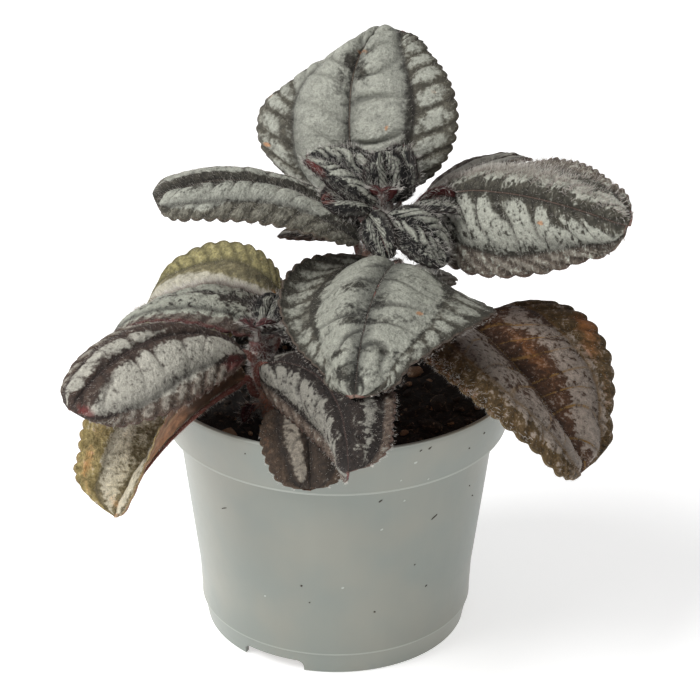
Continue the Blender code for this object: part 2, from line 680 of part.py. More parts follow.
def make_shoot(name, collection):
    """A stem with the young leaves of its tip fused to it."""
    stem = STEMS[name]
    line = smooth_line(stem["points"], STEM_STEPS_PER_SPAN)
    radii = [stem_radius(name, point.z) for point in line]
    shoot = tube(name, line, radii, collection, bevel_resolution=2)
    young = bpy.data.collections.new(name + "_young")
    bpy.context.scene.collection.children.link(young)
    for index, leaf in enumerate(YOUNG_LEAVES[name]):
        stalk = young_stalk(name, leaf)
        make_leaf("%s_young_%d" % (name, index), leaf, YOUNG_ROWS, YOUNG_MARGIN_CUTS, stalk, young)
    union = shoot.modifiers.new("union", "BOOLEAN")
    union.operation = "UNION"
    union.solver = "EXACT"
    union.operand_type = "COLLECTION"
    union.collection = young
    freeze(shoot)
    for obj in list(young.objects):
        bpy.data.objects.remove(obj, do_unlink=True)
    bpy.data.collections.remove(young)
    finish(shoot, make_material(name + "_hairy_skin", STEM_PINK, 0.7))
    return shoot


def make_large_leaves(collection):
    for name, leaf in LARGE_LEAVES.items():
        obj = make_leaf(name, leaf, leaf["rows"], MARGIN_CUTS, seated_stalk(leaf), collection)
        finish(obj, make_material(name + "_skin", leaf["colour"], 0.6))


def stand_on_origin(collection):
    """Move the whole plant so that the origin is under the middle of its box."""
    low = Vector((math.inf,) * 3)
    high = Vector((-math.inf,) * 3)
    for obj in collection.objects:
        for vert in obj.data.vertices:
            low = Vector(map(min, low, vert.co))
            high = Vector(map(max, high, vert.co))
    shift = Vector((-(low.x + high.x) / 2, -(low.y + high.y) / 2, -low.z))
    for obj in collection.objects:
        obj.data.transform(Matrix.Translation(shift))


def main():
    clear_scene()
    plant = make_collection("potted_friendship_plant")
    cutters = make_collection("cutters")
    make_pot(plant, cutters)
    make_soil(plant, cutters)
    for name in STEMS:
        make_shoot(name, plant)
    make_large_leaves(plant)
    stand_on_origin(plant)


main()
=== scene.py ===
"""Looks of the potted friendship plant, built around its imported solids.

Sizes are in millimetres and degrees, measured from the pot's axis at table height. The leaves
and stems repeat the solids' own curves, with rounder tips, a finer surface, veins, teeth, hairs
and finishes.
"""

import math

import bmesh
import bpy
import numpy as np
from mathutils import Matrix, Vector, noise


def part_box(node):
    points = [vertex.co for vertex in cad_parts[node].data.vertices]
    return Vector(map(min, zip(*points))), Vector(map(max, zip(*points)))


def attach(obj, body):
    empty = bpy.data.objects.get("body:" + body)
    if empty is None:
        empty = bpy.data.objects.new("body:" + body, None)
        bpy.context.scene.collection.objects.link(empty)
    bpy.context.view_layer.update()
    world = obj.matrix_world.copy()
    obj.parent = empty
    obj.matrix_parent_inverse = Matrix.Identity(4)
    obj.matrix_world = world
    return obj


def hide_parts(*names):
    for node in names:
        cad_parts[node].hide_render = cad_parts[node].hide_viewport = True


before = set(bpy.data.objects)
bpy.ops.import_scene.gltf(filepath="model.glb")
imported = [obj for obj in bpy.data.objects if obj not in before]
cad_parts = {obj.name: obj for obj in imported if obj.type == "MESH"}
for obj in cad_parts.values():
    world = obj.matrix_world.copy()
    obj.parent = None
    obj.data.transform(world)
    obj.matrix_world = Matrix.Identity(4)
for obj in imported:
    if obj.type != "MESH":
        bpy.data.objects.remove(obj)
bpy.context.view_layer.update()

MM = 0.001

# Points closer than this are joined
WELD = 0.002
TUBE_WELD = 0.001

pot_low, pot_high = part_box("pot")
AXIS = Vector(((pot_low.x + pot_high.x) / 2, (pot_low.y + pot_high.y) / 2, pot_low.z))

# Camera, as the photograph was taken
LENS = 133.7
SENSOR = 36.0
CAMERA_DISTANCE = 838.0
CAMERA_ELEVATION = 26.36
CAMERA_ROLL = 0.40
LOOK_AT = (4.24, 0.0, 95.25)
CLIP_METRES = (0.01, 50)

# Studio, with lights in millimetres and watts, and the floor in metres
FLOOR_RADIUS_METRES = 3.0
FLOOR_DROP_METRES = 0.0002
FLOOR_GLOW = 0.55
FLOOR_WHITES = ((0.92, 0.92, 0.92), (0.94, 0.94, 0.94))
ROOM_LIGHT = 0.34
LIGHTS = {
    "key": dict(place=(-610, -270, 930), aim=(0, 0, 90), size=800, watts=12.4),
    "fill": dict(place=(600, -900, 700), aim=(0, 0, 80), size=700, watts=0.15),
}

# Pot
POT_HEIGHT = 90.8
RIM_RADIUS = 60.0
BAND_TOP_RADIUS = RIM_RADIUS - 0.12
BAND_TOP_Z = POT_HEIGHT - 2.0
BAND_BOTTOM_RADIUS = 55.4
BAND_BOTTOM_Z = 72.6
WALL_TOP_RADIUS = 51.7
WALL_TOP_Z = BAND_BOTTOM_Z - 0.7
WALL_LOW_RADIUS = 45.3
WALL_LOW_Z = 20.0
FOOT_LINE_RADIUS = 44.6
FOOT_LINE_Z = 7.6
FOOT_RADIUS = 43.0
FOOT_RING_WIDTH = 1.8
WALL = 1.3
FLOOR_UNDERSIDE_Z = 4.6
FLOOR_TOP_Z = 6.2
TURN_STEPS = 144
NOTCH_COUNT = 3
NOTCH_HEADING = -118.0
NOTCH_WIDTH = 21.8
NOTCH_HEIGHT = 3.8
NOTCH_ROUNDING = 2.2
DRAIN_COUNT = 6
DRAIN_RADIUS = 3.0
DRAIN_CIRCLE_RADIUS = 30.0
DRAIN_HEADING = 34.0
DRAIN_SEGMENTS = 28
CUTTER_DEPTH = 12
LIP_RADIUS = 0.55
BEAD = 0.22
BAND_EDGE_RADIUS = 0.45
FOOT_EDGE_RADIUS = 0.4
FLOOR_EDGE = 1.2
EDGE_STEPS = 5
FOOT_STEPS = 4
SHARP_ANGLE = 32
INSIDE_DEPTH = 0.8

# Painted highlights along the pot's edges: height, how far they reach
EDGE_HIGHLIGHTS = [(BAND_BOTTOM_Z + 0.5, 0.45), (FOOT_LINE_Z + 0.3, 0.35), (POT_HEIGHT - 0.2, 0.5)]

# Bits of dirt and dried drops on the pot: heading, height, length along the wall, width
DIRT = [
    (-118, 85.4, 0.7, 0.6), (-64, 87.7, 1.3, 0.5), (-61, 87.9, 1.6, 0.8), (-44, 81.4, 0.8, 0.7),
    (-38, 84.6, 1.1, 0.5), (-74, 67.4, 1.8, 0.6), (-51, 55.9, 3.2, 0.5), (-135, 56.5, 3.6, 0.4),
    (-103, 34.5, 0.9, 0.9), (-100, 28.1, 0.7, 0.6), (-74, 23.8, 0.8, 0.9), (-58, 39.3, 0.7, 0.5),
    (-51, 28.8, 1.0, 0.5), (-28, 55.0, 0.7, 0.6), (-32, 60.5, 0.6, 0.5), (20, 70.0, 0.9, 0.6),
    (65, 48.0, 1.1, 0.7), (110, 79.0, 1.0, 0.6), (150, 33.0, 0.8, 0.8), (-170, 66.0, 1.4, 0.5),
]
DROPS = [
    (-73, 56.3, 1.2, 0.8), (-65, 65.9, 0.9, 0.7), (-65, 83.2, 1.5, 1.2), (-69, 76.7, 0.8, 0.6),
    (-119, 27.2, 0.9, 0.8), (-87, 34.5, 1.1, 1.0), (-59, 74.6, 0.8, 0.6), (35, 60.0, 1.1, 0.9),
    (120, 42.0, 1.0, 0.9), (-160, 72.0, 0.9, 0.8),
]
DIRT_THICKNESS = 0.16
DROP_THICKNESS = 0.05
SPOT_UNEVEN = 0.5
SPOT_GRAIN = 2.4
SPOT_TILT_RADIANS = 0.5

# Soil, with its gaps to the pot's wall and to the step under the rim band
SOIL_Z = 84.6
SOIL_GAP = 0.45
STEP_GAP = 0.9
SOIL_RINGS = 64

# The soil's surface has waves (height, length across, length away, phase) and lumps (height, size,
# seed), which grow from nothing between two distances from the pot's wall
SOIL_WAVES = [(0.55, 30.0, 33.0, 0.7), (0.35, 7.6, 6.4, 2.1)]
SOIL_LUMPS = [(1.3, 4.5, 3.0), (0.8, 1.9, 7.0)]
SOIL_LEVEL_EDGE = (0.4, 4)

# Crumbs and bits of bark
CRUMB_COUNT = 330
CRUMB_SEED = 11
CRUMB_SIZES = (0.5, 1.3)
CRUMB_UNEVEN = 0.45
CRUMB_GRAIN = 1.1
CRUMB_MARGIN = 2.5
LARGE_CRUMB = 2.2
LARGE_CRUMB_EVERY = 9
BARK_EVERY = 7

# Stems and stalks
TOUCH_GAP = 0.3
STEM_ROOT_Z = 73.0
STEM_STEPS_PER_SPAN = 2
STEM_STEPS_DRAWN = 8
STALK_RADIUS = 1.5
STALK_AT_BLADE_RADIUS = 1.25
STALK_BEND_SHARE = 0.38
STALK_STEPS = 10
YOUNG_STALK_RADIUS = 1.1
YOUNG_STALK_DROP = 1.5
MIDRIB_END_RADIUS = 0.28
MIDRIB_START = 0.06
MIDRIB_REACH = 0.93
MIDRIB_STEPS = 14
MIDRIB_TAPER = 0.6
MIDRIB_INSET = 0.1

# Leaf blades
SLOPE_STEPS = 8
TAPER_START = 0.45
TAPER_END = 0.9
LEAF_THICKNESS = 0.5
COLUMN_PITCH = 0.9
COLUMN_LIMITS = (10, 36)
ROW_PITCH = 0.52
ROW_LIMITS = (40, 128)
BAND_FADE = 0.07

# Small swellings of a blade: height, size
LUMPS = [(0.3, 3.2), (0.55, 9.0)]

# Tips are blunter than the plain outline from one share of the length to another, by a share of
# the width or by the leaf's own millimetres
TIP_START = 0.82
TIP_MIDDLE = 0.95
BLUNT = 0.03

# What a blade's mesh carries to its finishes and hairs, at each point
LEAF_FIELDS = (
    "across", "along", "half_width", "inner", "outer", "inner_cell", "outer_cell", "silver", "warm",
    "raised", "fibre_along", "fibre_across",
)

# Teeth of the margin
LEAST_TEETH = 5
MARGIN_STEPS = 500
TOOTH_DEPTH = 1.15
TOOTH_SHARE = 0.3
TOOTH_ZONE = 0.72
FULL_TOOTH_WIDTH = 30

# Relief between the veins
PUFF = 2.2
CREASE = 1.3
CREASE_WIDTH = 0.9
OUTER_PUFF = 0.9
OUTER_CREASE = 0.75
FULL_PATCH_GAP = 2.4
FULL_HALF_WIDTH = 17.0
SIDE_VEIN_SWAY = 0.07

# How the cross veins stray: amount, waves along, waves across
VEIN_SWAYS = [(0.22, 9.1, 4.0), (0.16, 21.0, -3.0)]
OTHER_HALF_SHIFT = 0.37
FIBRE_SLANT = 0.45

# Hairs: radii, depth of the roots, spread, lean, bend, and lengths as shares of the usual one
TUFT_RADIUS = 0.075
SKIN_HAIR_RADIUS = 0.05
ROOT_DEPTH = 0.1
MARGIN_ROOT_DEPTH = 0.15
FUZZ_SPREAD = 0.35
HAIR_SPREAD = 0.3
FUZZ_TO_TIP = 0.7
FUZZ_TO_MARGIN = 0.35
TUFT_TO_TIP = 0.5
MARGIN_TO_TIP = 0.6
TUFT_BEND = 0.2
SKIN_HAIR_BEND = 0.25
FUZZ_LENGTHS = (0.6, 1.25)
TUFT_LENGTHS = (0.5, 1.2)
MARGIN_LENGTHS = (0.6, 1.4)
SKIN_LENGTHS = (0.5, 1.3)
MARGIN_HAIRS_PER_MM = 3.2
MARGIN_ENDS = (0.01, 0.99)
JUST_INSIDE = 0.97
LEAF_SEED = 100

# Hairs of stems and stalks: number per square centimetre, length
STALK_HAIRS = (260, 1.2)
STEM_HAIRS = (420, 2.4)
YOUNG_STALK_HAIRS = (500, 2.2)

STEMS = {
    "main_stem": dict(
        points=[(11, 5, STEM_ROOT_Z), (11, 5, 88), (11.5, 3, 108), (12, 1, 130), (15.5, 0, 145)],
        radius=3.4,
        tip_radius=4.4,
        crimson_from=134.0,
    ),
    "side_shoot": dict(
        points=[(-20, -26, STEM_ROOT_Z), (-20, -26, 87.5), (-22.5, -24.5, 96), (-24, -21.5, 109)],
        radius=3.8,
        tip_radius=3.4,
        crimson_from=98.0,
    ),
}

PLAIN_LEAF = dict(
    turn=0, roll=0, twist=0, left=(10, 0, -15), right=(10, 0, -15), shape=(0.6, 0.5),
    left_share=1.0, right_share=1.0, left_taper=0.0, right_taper=0.0,
)


def shaped(**given):
    """A leaf's shape, plain where nothing is given."""
    return dict(PLAIN_LEAF, **given)


# A leaf's midrib leaves its base at a heading (0 is right, 90 is away, -90 is to the front) and a
# rise above level, and turns by turn and bend on the way to its tip. Roll and twist turn the blade
# about the midrib. Each half has three slopes across it, at midrib, middle and margin, and may
# have three others at the tip. Shape holds the fullness of the outline towards base and tip. A
# half may be narrower by its share or taper early. Blunt widens the tip's end, in millimetres.
LARGE_LEAVES = {
    "leaf_top_back": shaped(
        stem="main_stem", node_z=138, base=(2, 16, 142), heading=91, turn=-35, rise=94, bend=-88, roll=-1,
        twist=10, length=65, width=73, left=(-5, -28, -50), right=(4, 11, -14), shape=(0.47, 0.68),
        left_taper=0.55,
    ),
    "leaf_top_left": shaped(
        stem="main_stem", node_z=134, base=(8, -7, 138), heading=168, turn=23, rise=39, bend=-57, roll=6,
        twist=-14, length=69, width=40, left=(10, -6, -48), right=(17, -11, -23), shape=(0.34, 0.35),
    ),
    "leaf_top_right": shaped(
        stem="main_stem", node_z=137, base=(32, 12.5, 143), heading=-47, turn=23, rise=22, bend=-30,
        roll=23, twist=36, length=71, width=50, left=(33, -38, -17), right=(-26, -33, -19),
        shape=(0.30, 0.56), blunt=2.2,
    ),
    "leaf_top_right_back": shaped(
        stem="main_stem", node_z=129, base=(29, 20.5, 140.5), heading=41, turn=-3, rise=13, bend=-19,
        roll=-16, twist=17, length=42, width=24, left=(10, -3, -21), right=(15, 22, -16),
        shape=(0.65, 0.45),
    ),
    "leaf_middle_front": shaped(
        stem="main_stem", node_z=127, base=(19, -15, 133), heading=-110, turn=14, rise=14, bend=-64,
        roll=-8, twist=27, length=63, width=74, left=(5, -17, 11), right=(13, -30, 96),
        left_tip=(6, -23, 6), right_tip=(5, -44, 5), shape=(0.30, 0.78), blunt=5.0,
    ),
    "leaf_middle_back": shaped(
        stem="main_stem", node_z=124, base=(4, 9, 131), heading=158, rise=4, bend=-22, length=25,
        width=15,
    ),
    "leaf_low_right": shaped(
        stem="main_stem", node_z=103, base=(40, -2, 106.5), heading=-65, turn=25, rise=10, bend=-70,
        roll=-2, twist=-14, length=71, width=70, left=(10, 14, 2), right=(13, 19, -59),
        shape=(0.33, 0.50), blunt=4.5,
    ),
    "leaf_low_left_back": shaped(
        stem="main_stem", node_z=106, base=(-18, 5, 109.5), heading=154, turn=-1, rise=-3, bend=-17,
        roll=-25, twist=-2, length=51, width=47, left=(10, 1, -10), right=(8, 3, -1), shape=(0.60, 0.45),
    ),
    "leaf_low_back": shaped(
        stem="main_stem", node_z=97, base=(15, 16, 100), heading=75, rise=20, bend=-50, length=46,
        width=38, shape=(0.55, 0.5),
    ),
    "leaf_lowest_back": shaped(
        stem="main_stem", node_z=92, base=(2, 13, 96), heading=135, rise=22, bend=-55, length=46,
        width=34,
    ),
    "leaf_side_left": shaped(
        stem="side_shoot", node_z=105.5, base=(-27.5, -33, 110), heading=212, turn=5, rise=42, bend=-87,
        roll=-14, twist=-4, length=68, width=46, left=(5, -17, -26), right=(12, -22, -27),
        shape=(0.70, 0.46), right_share=0.68,
    ),
    "leaf_side_upper": shaped(
        stem="side_shoot", node_z=102, base=(-19, -9, 111), heading=172, turn=8, rise=33, bend=-81,
        roll=-4, twist=28, length=57, width=36, left=(14, -22, -31), right=(12, -19, -51),
        shape=(0.33, 0.59),
    ),
    "leaf_side_old": shaped(
        stem="side_shoot", node_z=93, base=(-28.5, -28.5, 99), heading=221, turn=12, rise=-9, bend=-34,
        roll=2, twist=-38, length=62, width=52, left=(54, 85, 44), right=(8, 12, 2),
        left_tip=(103, 71, 114), right_tip=(8, 12, 3), shape=(0.60, 0.51), blunt=4.0,
    ),
    "leaf_side_front": shaped(
        stem="side_shoot", node_z=97, base=(-23.5, -30.5, 105), heading=-39, turn=-53, rise=26, bend=-60,
        roll=13, twist=29, length=71, width=36, left=(-19, -15, -24), right=(-13, -55, -38),
        shape=(0.37, 0.36), blunt=2.6,
    ),
    "leaf_side_low": shaped(
        stem="side_shoot", node_z=88, base=(-13, -29, 91), heading=-76, turn=-13, rise=26, bend=-67,
        roll=3, twist=7, length=48, width=30, left=(3, 6, -18), right=(1, 6, -23), shape=(0.64, 0.41),
    ),
}

YOUNG_LEAVES = {
    "main_stem": [
        shaped(
            base=(14, -1, 147), heading=155, turn=-4, rise=50, bend=-58, roll=-22, twist=4, length=30,
            width=24, left=(13, -20, 29), right=(18, 0, 8), left_tip=(14, 10, 103),
            right_tip=(14, -21, 2), shape=(0.62, 0.59),
        ),
        shaped(
            base=(19.5, 5, 145), heading=80, turn=-8, rise=74, bend=-8, roll=2, twist=-15, length=18,
            width=17, left=(31, 35, 21), right=(30, 32, 21), shape=(0.61, 0.50),
        ),
        shaped(
            base=(10, -5, 144.5), heading=-72, turn=25, rise=-2, bend=-70, roll=22, twist=27, length=17,
            width=12, left=(25, 38, -22), right=(4, 0, -13), shape=(0.57, 0.53),
        ),
        shaped(
            base=(14.5, -9, 145), heading=-14, turn=5, rise=17, bend=-95, roll=27, twist=-34, length=24,
            width=22, left=(14, 2, -25), right=(-8, -49, -43), shape=(0.78, 0.36),
        ),
        shaped(
            base=(24.5, 2.5, 144), heading=13, turn=-8, rise=55, bend=-80, roll=-19, twist=-15, length=14,
            width=8, left=(20, 0, -20), right=(28, 28, -14), shape=(0.65, 0.49),
        ),
        shaped(
            base=(14.5, -1, 147), heading=-95, rise=62, bend=-40, length=11, width=10, left=(28, 22, 10),
            right=(28, 22, 10),
        ),
        shaped(
            base=(21, -1.5, 143.5), heading=-2, turn=8, rise=30, bend=-55, roll=-14, length=17, width=13,
            left=(16, 4, -20), right=(14, -8, -24),
        ),
        shaped(
            base=(16.5, 1, 146), heading=112, turn=4, rise=78, bend=-24, roll=-4, length=17, width=17,
            left=(18, 8, -10), right=(18, 8, -10), shape=(0.55, 0.5),
        ),
        shaped(
            base=(11, -3, 146), heading=188, turn=6, rise=30, bend=-34, roll=-34, length=17, width=14,
            left=(16, 4, -20), right=(16, 4, -20),
        ),
        shaped(
            base=(17, -7, 140), heading=-38, turn=6, rise=4, bend=-46, roll=8, length=21, width=16,
            left=(12, 0, -18), right=(12, 0, -18),
        ),
    ],
    "side_shoot": [
        shaped(
            base=(-23.5, -23.5, 112), heading=-100, rise=62, bend=-50, length=13, width=12,
            left=(25, 10, -10), right=(25, 10, -10),
        ),
        shaped(
            base=(-22, -23, 111), heading=-38, rise=44, bend=-70, roll=-10, length=17, width=13,
            left=(20, 6, -14), right=(20, 6, -14),
        ),
        shaped(
            base=(-23, -20, 111), heading=60, rise=62, bend=-30, length=13, width=12, left=(25, 10, -10),
            right=(25, 10, -10),
        ),
        shaped(
            base=(-26, -27, 88.5), heading=-110, rise=0, bend=-30, length=8, width=6, left=(40, 50, 60),
            right=(40, 50, 60), shape=(0.5, 0.5),
        ),
    ],
}

# Which young leaves are still crimson
CRIMSON_LEAVES = {"main_stem": (4, 5), "side_shoot": (0, 3)}


def srgb(red, green, blue):
    """A colour given as it shows on a screen, 0 to 255, turned into light."""
    return tuple(((c / 255 + 0.055) / 1.055) ** 2.4 for c in (red, green, blue))


PLAIN_TONE = dict(silver=(160, 161, 150), vein=(54, 48, 41), under=(112, 60, 54), flush=(176, 128, 90))


def tone(**colours):
    """The colours of one kind of leaf, plain where nothing is given."""
    return {part: srgb(*colour) for part, colour in dict(PLAIN_TONE, **colours).items()}


# Colours apart from the leaves'
STALK_COLOUR = srgb(118, 68, 57)
STEM_COLOUR = srgb(200, 146, 122)
CRIMSON_SKIN = srgb(84, 44, 39)
HAIR_TIP = srgb(222, 218, 210)
HAIR_ROOT = srgb(150, 136, 126)
# Roots of the young leaves' hairs, dark as painted shade within the crown
YOUNG_HAIR_ROOT = srgb(74, 62, 57)
PLASTIC = (srgb(131, 137, 130), srgb(140, 141, 131))
# Painted highlight for the pot's edges
PLASTIC_HIGHLIGHT = srgb(180, 184, 176)
# Colour of the pot's inside, darker and browner than the outside
INSIDE_BROWN = srgb(84, 68, 52)
DIRT_COLOURS = (srgb(84, 78, 70), srgb(108, 102, 92))
DRIED_WATER = srgb(186, 190, 184)
EARTH = (srgb(24, 20, 17), srgb(96, 78, 62))
CRUMBS = (srgb(46, 38, 32), srgb(168, 144, 120))
BARK = (srgb(142, 114, 90), srgb(210, 182, 150))

# Each kind of leaf: its ground colour, silver, veins, margin zone, margin line, underside and flush
TONES = {
    "silver": tone(ground=(62, 59, 51), outer=(94, 90, 78), line=(128, 112, 96)),
    "dark": tone(
        ground=(64, 50, 42), silver=(163, 160, 149), vein=(44, 35, 31), outer=(92, 77, 66),
        line=(132, 104, 94), under=(112, 40, 42), flush=(100, 42, 40),
    ),
    "moss": tone(
        ground=(58, 56, 48), silver=(162, 163, 151), vein=(50, 46, 39), outer=(78, 75, 65),
        line=(136, 116, 102),
    ),
    "mauve": tone(ground=(76, 73, 63), outer=(103, 92, 81), line=(138, 112, 98)),
    "plum": tone(
        ground=(60, 55, 48), silver=(160, 162, 149), vein=(46, 38, 34), outer=(92, 78, 70),
        line=(130, 104, 96), under=(112, 40, 42), flush=(92, 48, 45),
    ),
    "brown": tone(
        ground=(54, 43, 34), silver=(160, 151, 137), vein=(42, 33, 27), outer=(64, 50, 38),
        line=(112, 90, 70), under=(112, 50, 44), flush=(130, 84, 56),
    ),
    "young": tone(
        ground=(25, 21, 19), silver=(152, 153, 142), vein=(17, 14, 13), outer=(39, 33, 30),
        line=(84, 66, 61), under=(98, 34, 36), flush=(92, 36, 32),
    ),
    "crimson": tone(
        ground=(70, 26, 28), silver=(96, 60, 58), vein=(48, 18, 20), outer=(84, 30, 32),
        line=(120, 70, 66), under=(98, 28, 32), flush=(110, 36, 38),
    ),
    "bronze": tone(
        ground=(84, 54, 32), silver=(144, 132, 121), vein=(140, 106, 56), outer=(88, 68, 37),
        line=(148, 126, 84), under=(150, 112, 78), flush=(150, 96, 50),
    ),
    "olive": tone(
        ground=(128, 120, 90), silver=(208, 202, 182), vein=(112, 105, 76), outer=(142, 134, 92),
        line=(146, 128, 78), under=(150, 130, 84), flush=(180, 124, 70),
    ),
    "old": tone(
        ground=(136, 124, 93), silver=(200, 192, 170), vein=(128, 116, 86), outer=(168, 150, 97),
        line=(176, 148, 108), under=(158, 112, 80), flush=(186, 128, 72),
    ),
}

# How each leaf is patterned. Left and right list the silver band of each half as stations: share
# along the leaf, share across where the band starts, share where it stops. Blots are soft marks
# (along, across, reach along, reach across, amount) that add silver, or darken when negative, and
# warm marks add the flush. Wander is how far the midrib strays from the middle at base, half-way
# and tip. Pitch is the spacing of the outer cells, teeth how many teeth each holds at left and
# right, and lean how far the veins slant to the tip. Patches are the silver of the outer cells at
# left and right, narrower with a larger patch gap. Cover is how far silver hides the ground, and
# deep how light the inner ground is. Side vein is the share across where that vein runs, side fold
# how far the blade folds down at it, puff the relief's height, and crease how deep the inner cross
# veins cut it. Cross is how dark the cross veins are, furrow how wide the inner ones are, and wedge
# how far those part the silver. Ragged roughens the silver's edge, bright lightens the silver,
# streaks strengthens what runs along the fibres, midline the line on the midrib, and shade darkens
# low places. Fuzz is the number of short hairs per square centimetre, and hair the length of these
# and of the margin's. Tufts are marks with a hair length and such a number of their own.
PLAIN_LOOK = dict(
    tone="silver", slot="leaf_silver",
    left=[(0, 0.1, 0.5), (0.3, 0.1, 0.6), (0.9, 0.15, 0.6), (1, 0.4, 0.4)],
    right=[(0, 0.1, 0.5), (0.3, 0.1, 0.6), (0.9, 0.15, 0.6), (1, 0.4, 0.4)], patches=(0.4, 0.4), blots=[],
    warm=[], wander=(0, 0, 0), side_vein=0.6, wedge=0.35, crease=1.0, cross=0.6, ragged=1.0, bright=1.0,
    streaks=0.4, midline=0.3, furrow=0.08, side_fold=1.0, shade=0.45, deep=1.0, patch_gap=2.4, pitch=5.6,
    teeth=(1, 1), cover=1.0, creases=7, lean=6.0, puff=1.0, fuzz=60, hair=0.9, hair_radius=0.035,
    tufts=[],
)
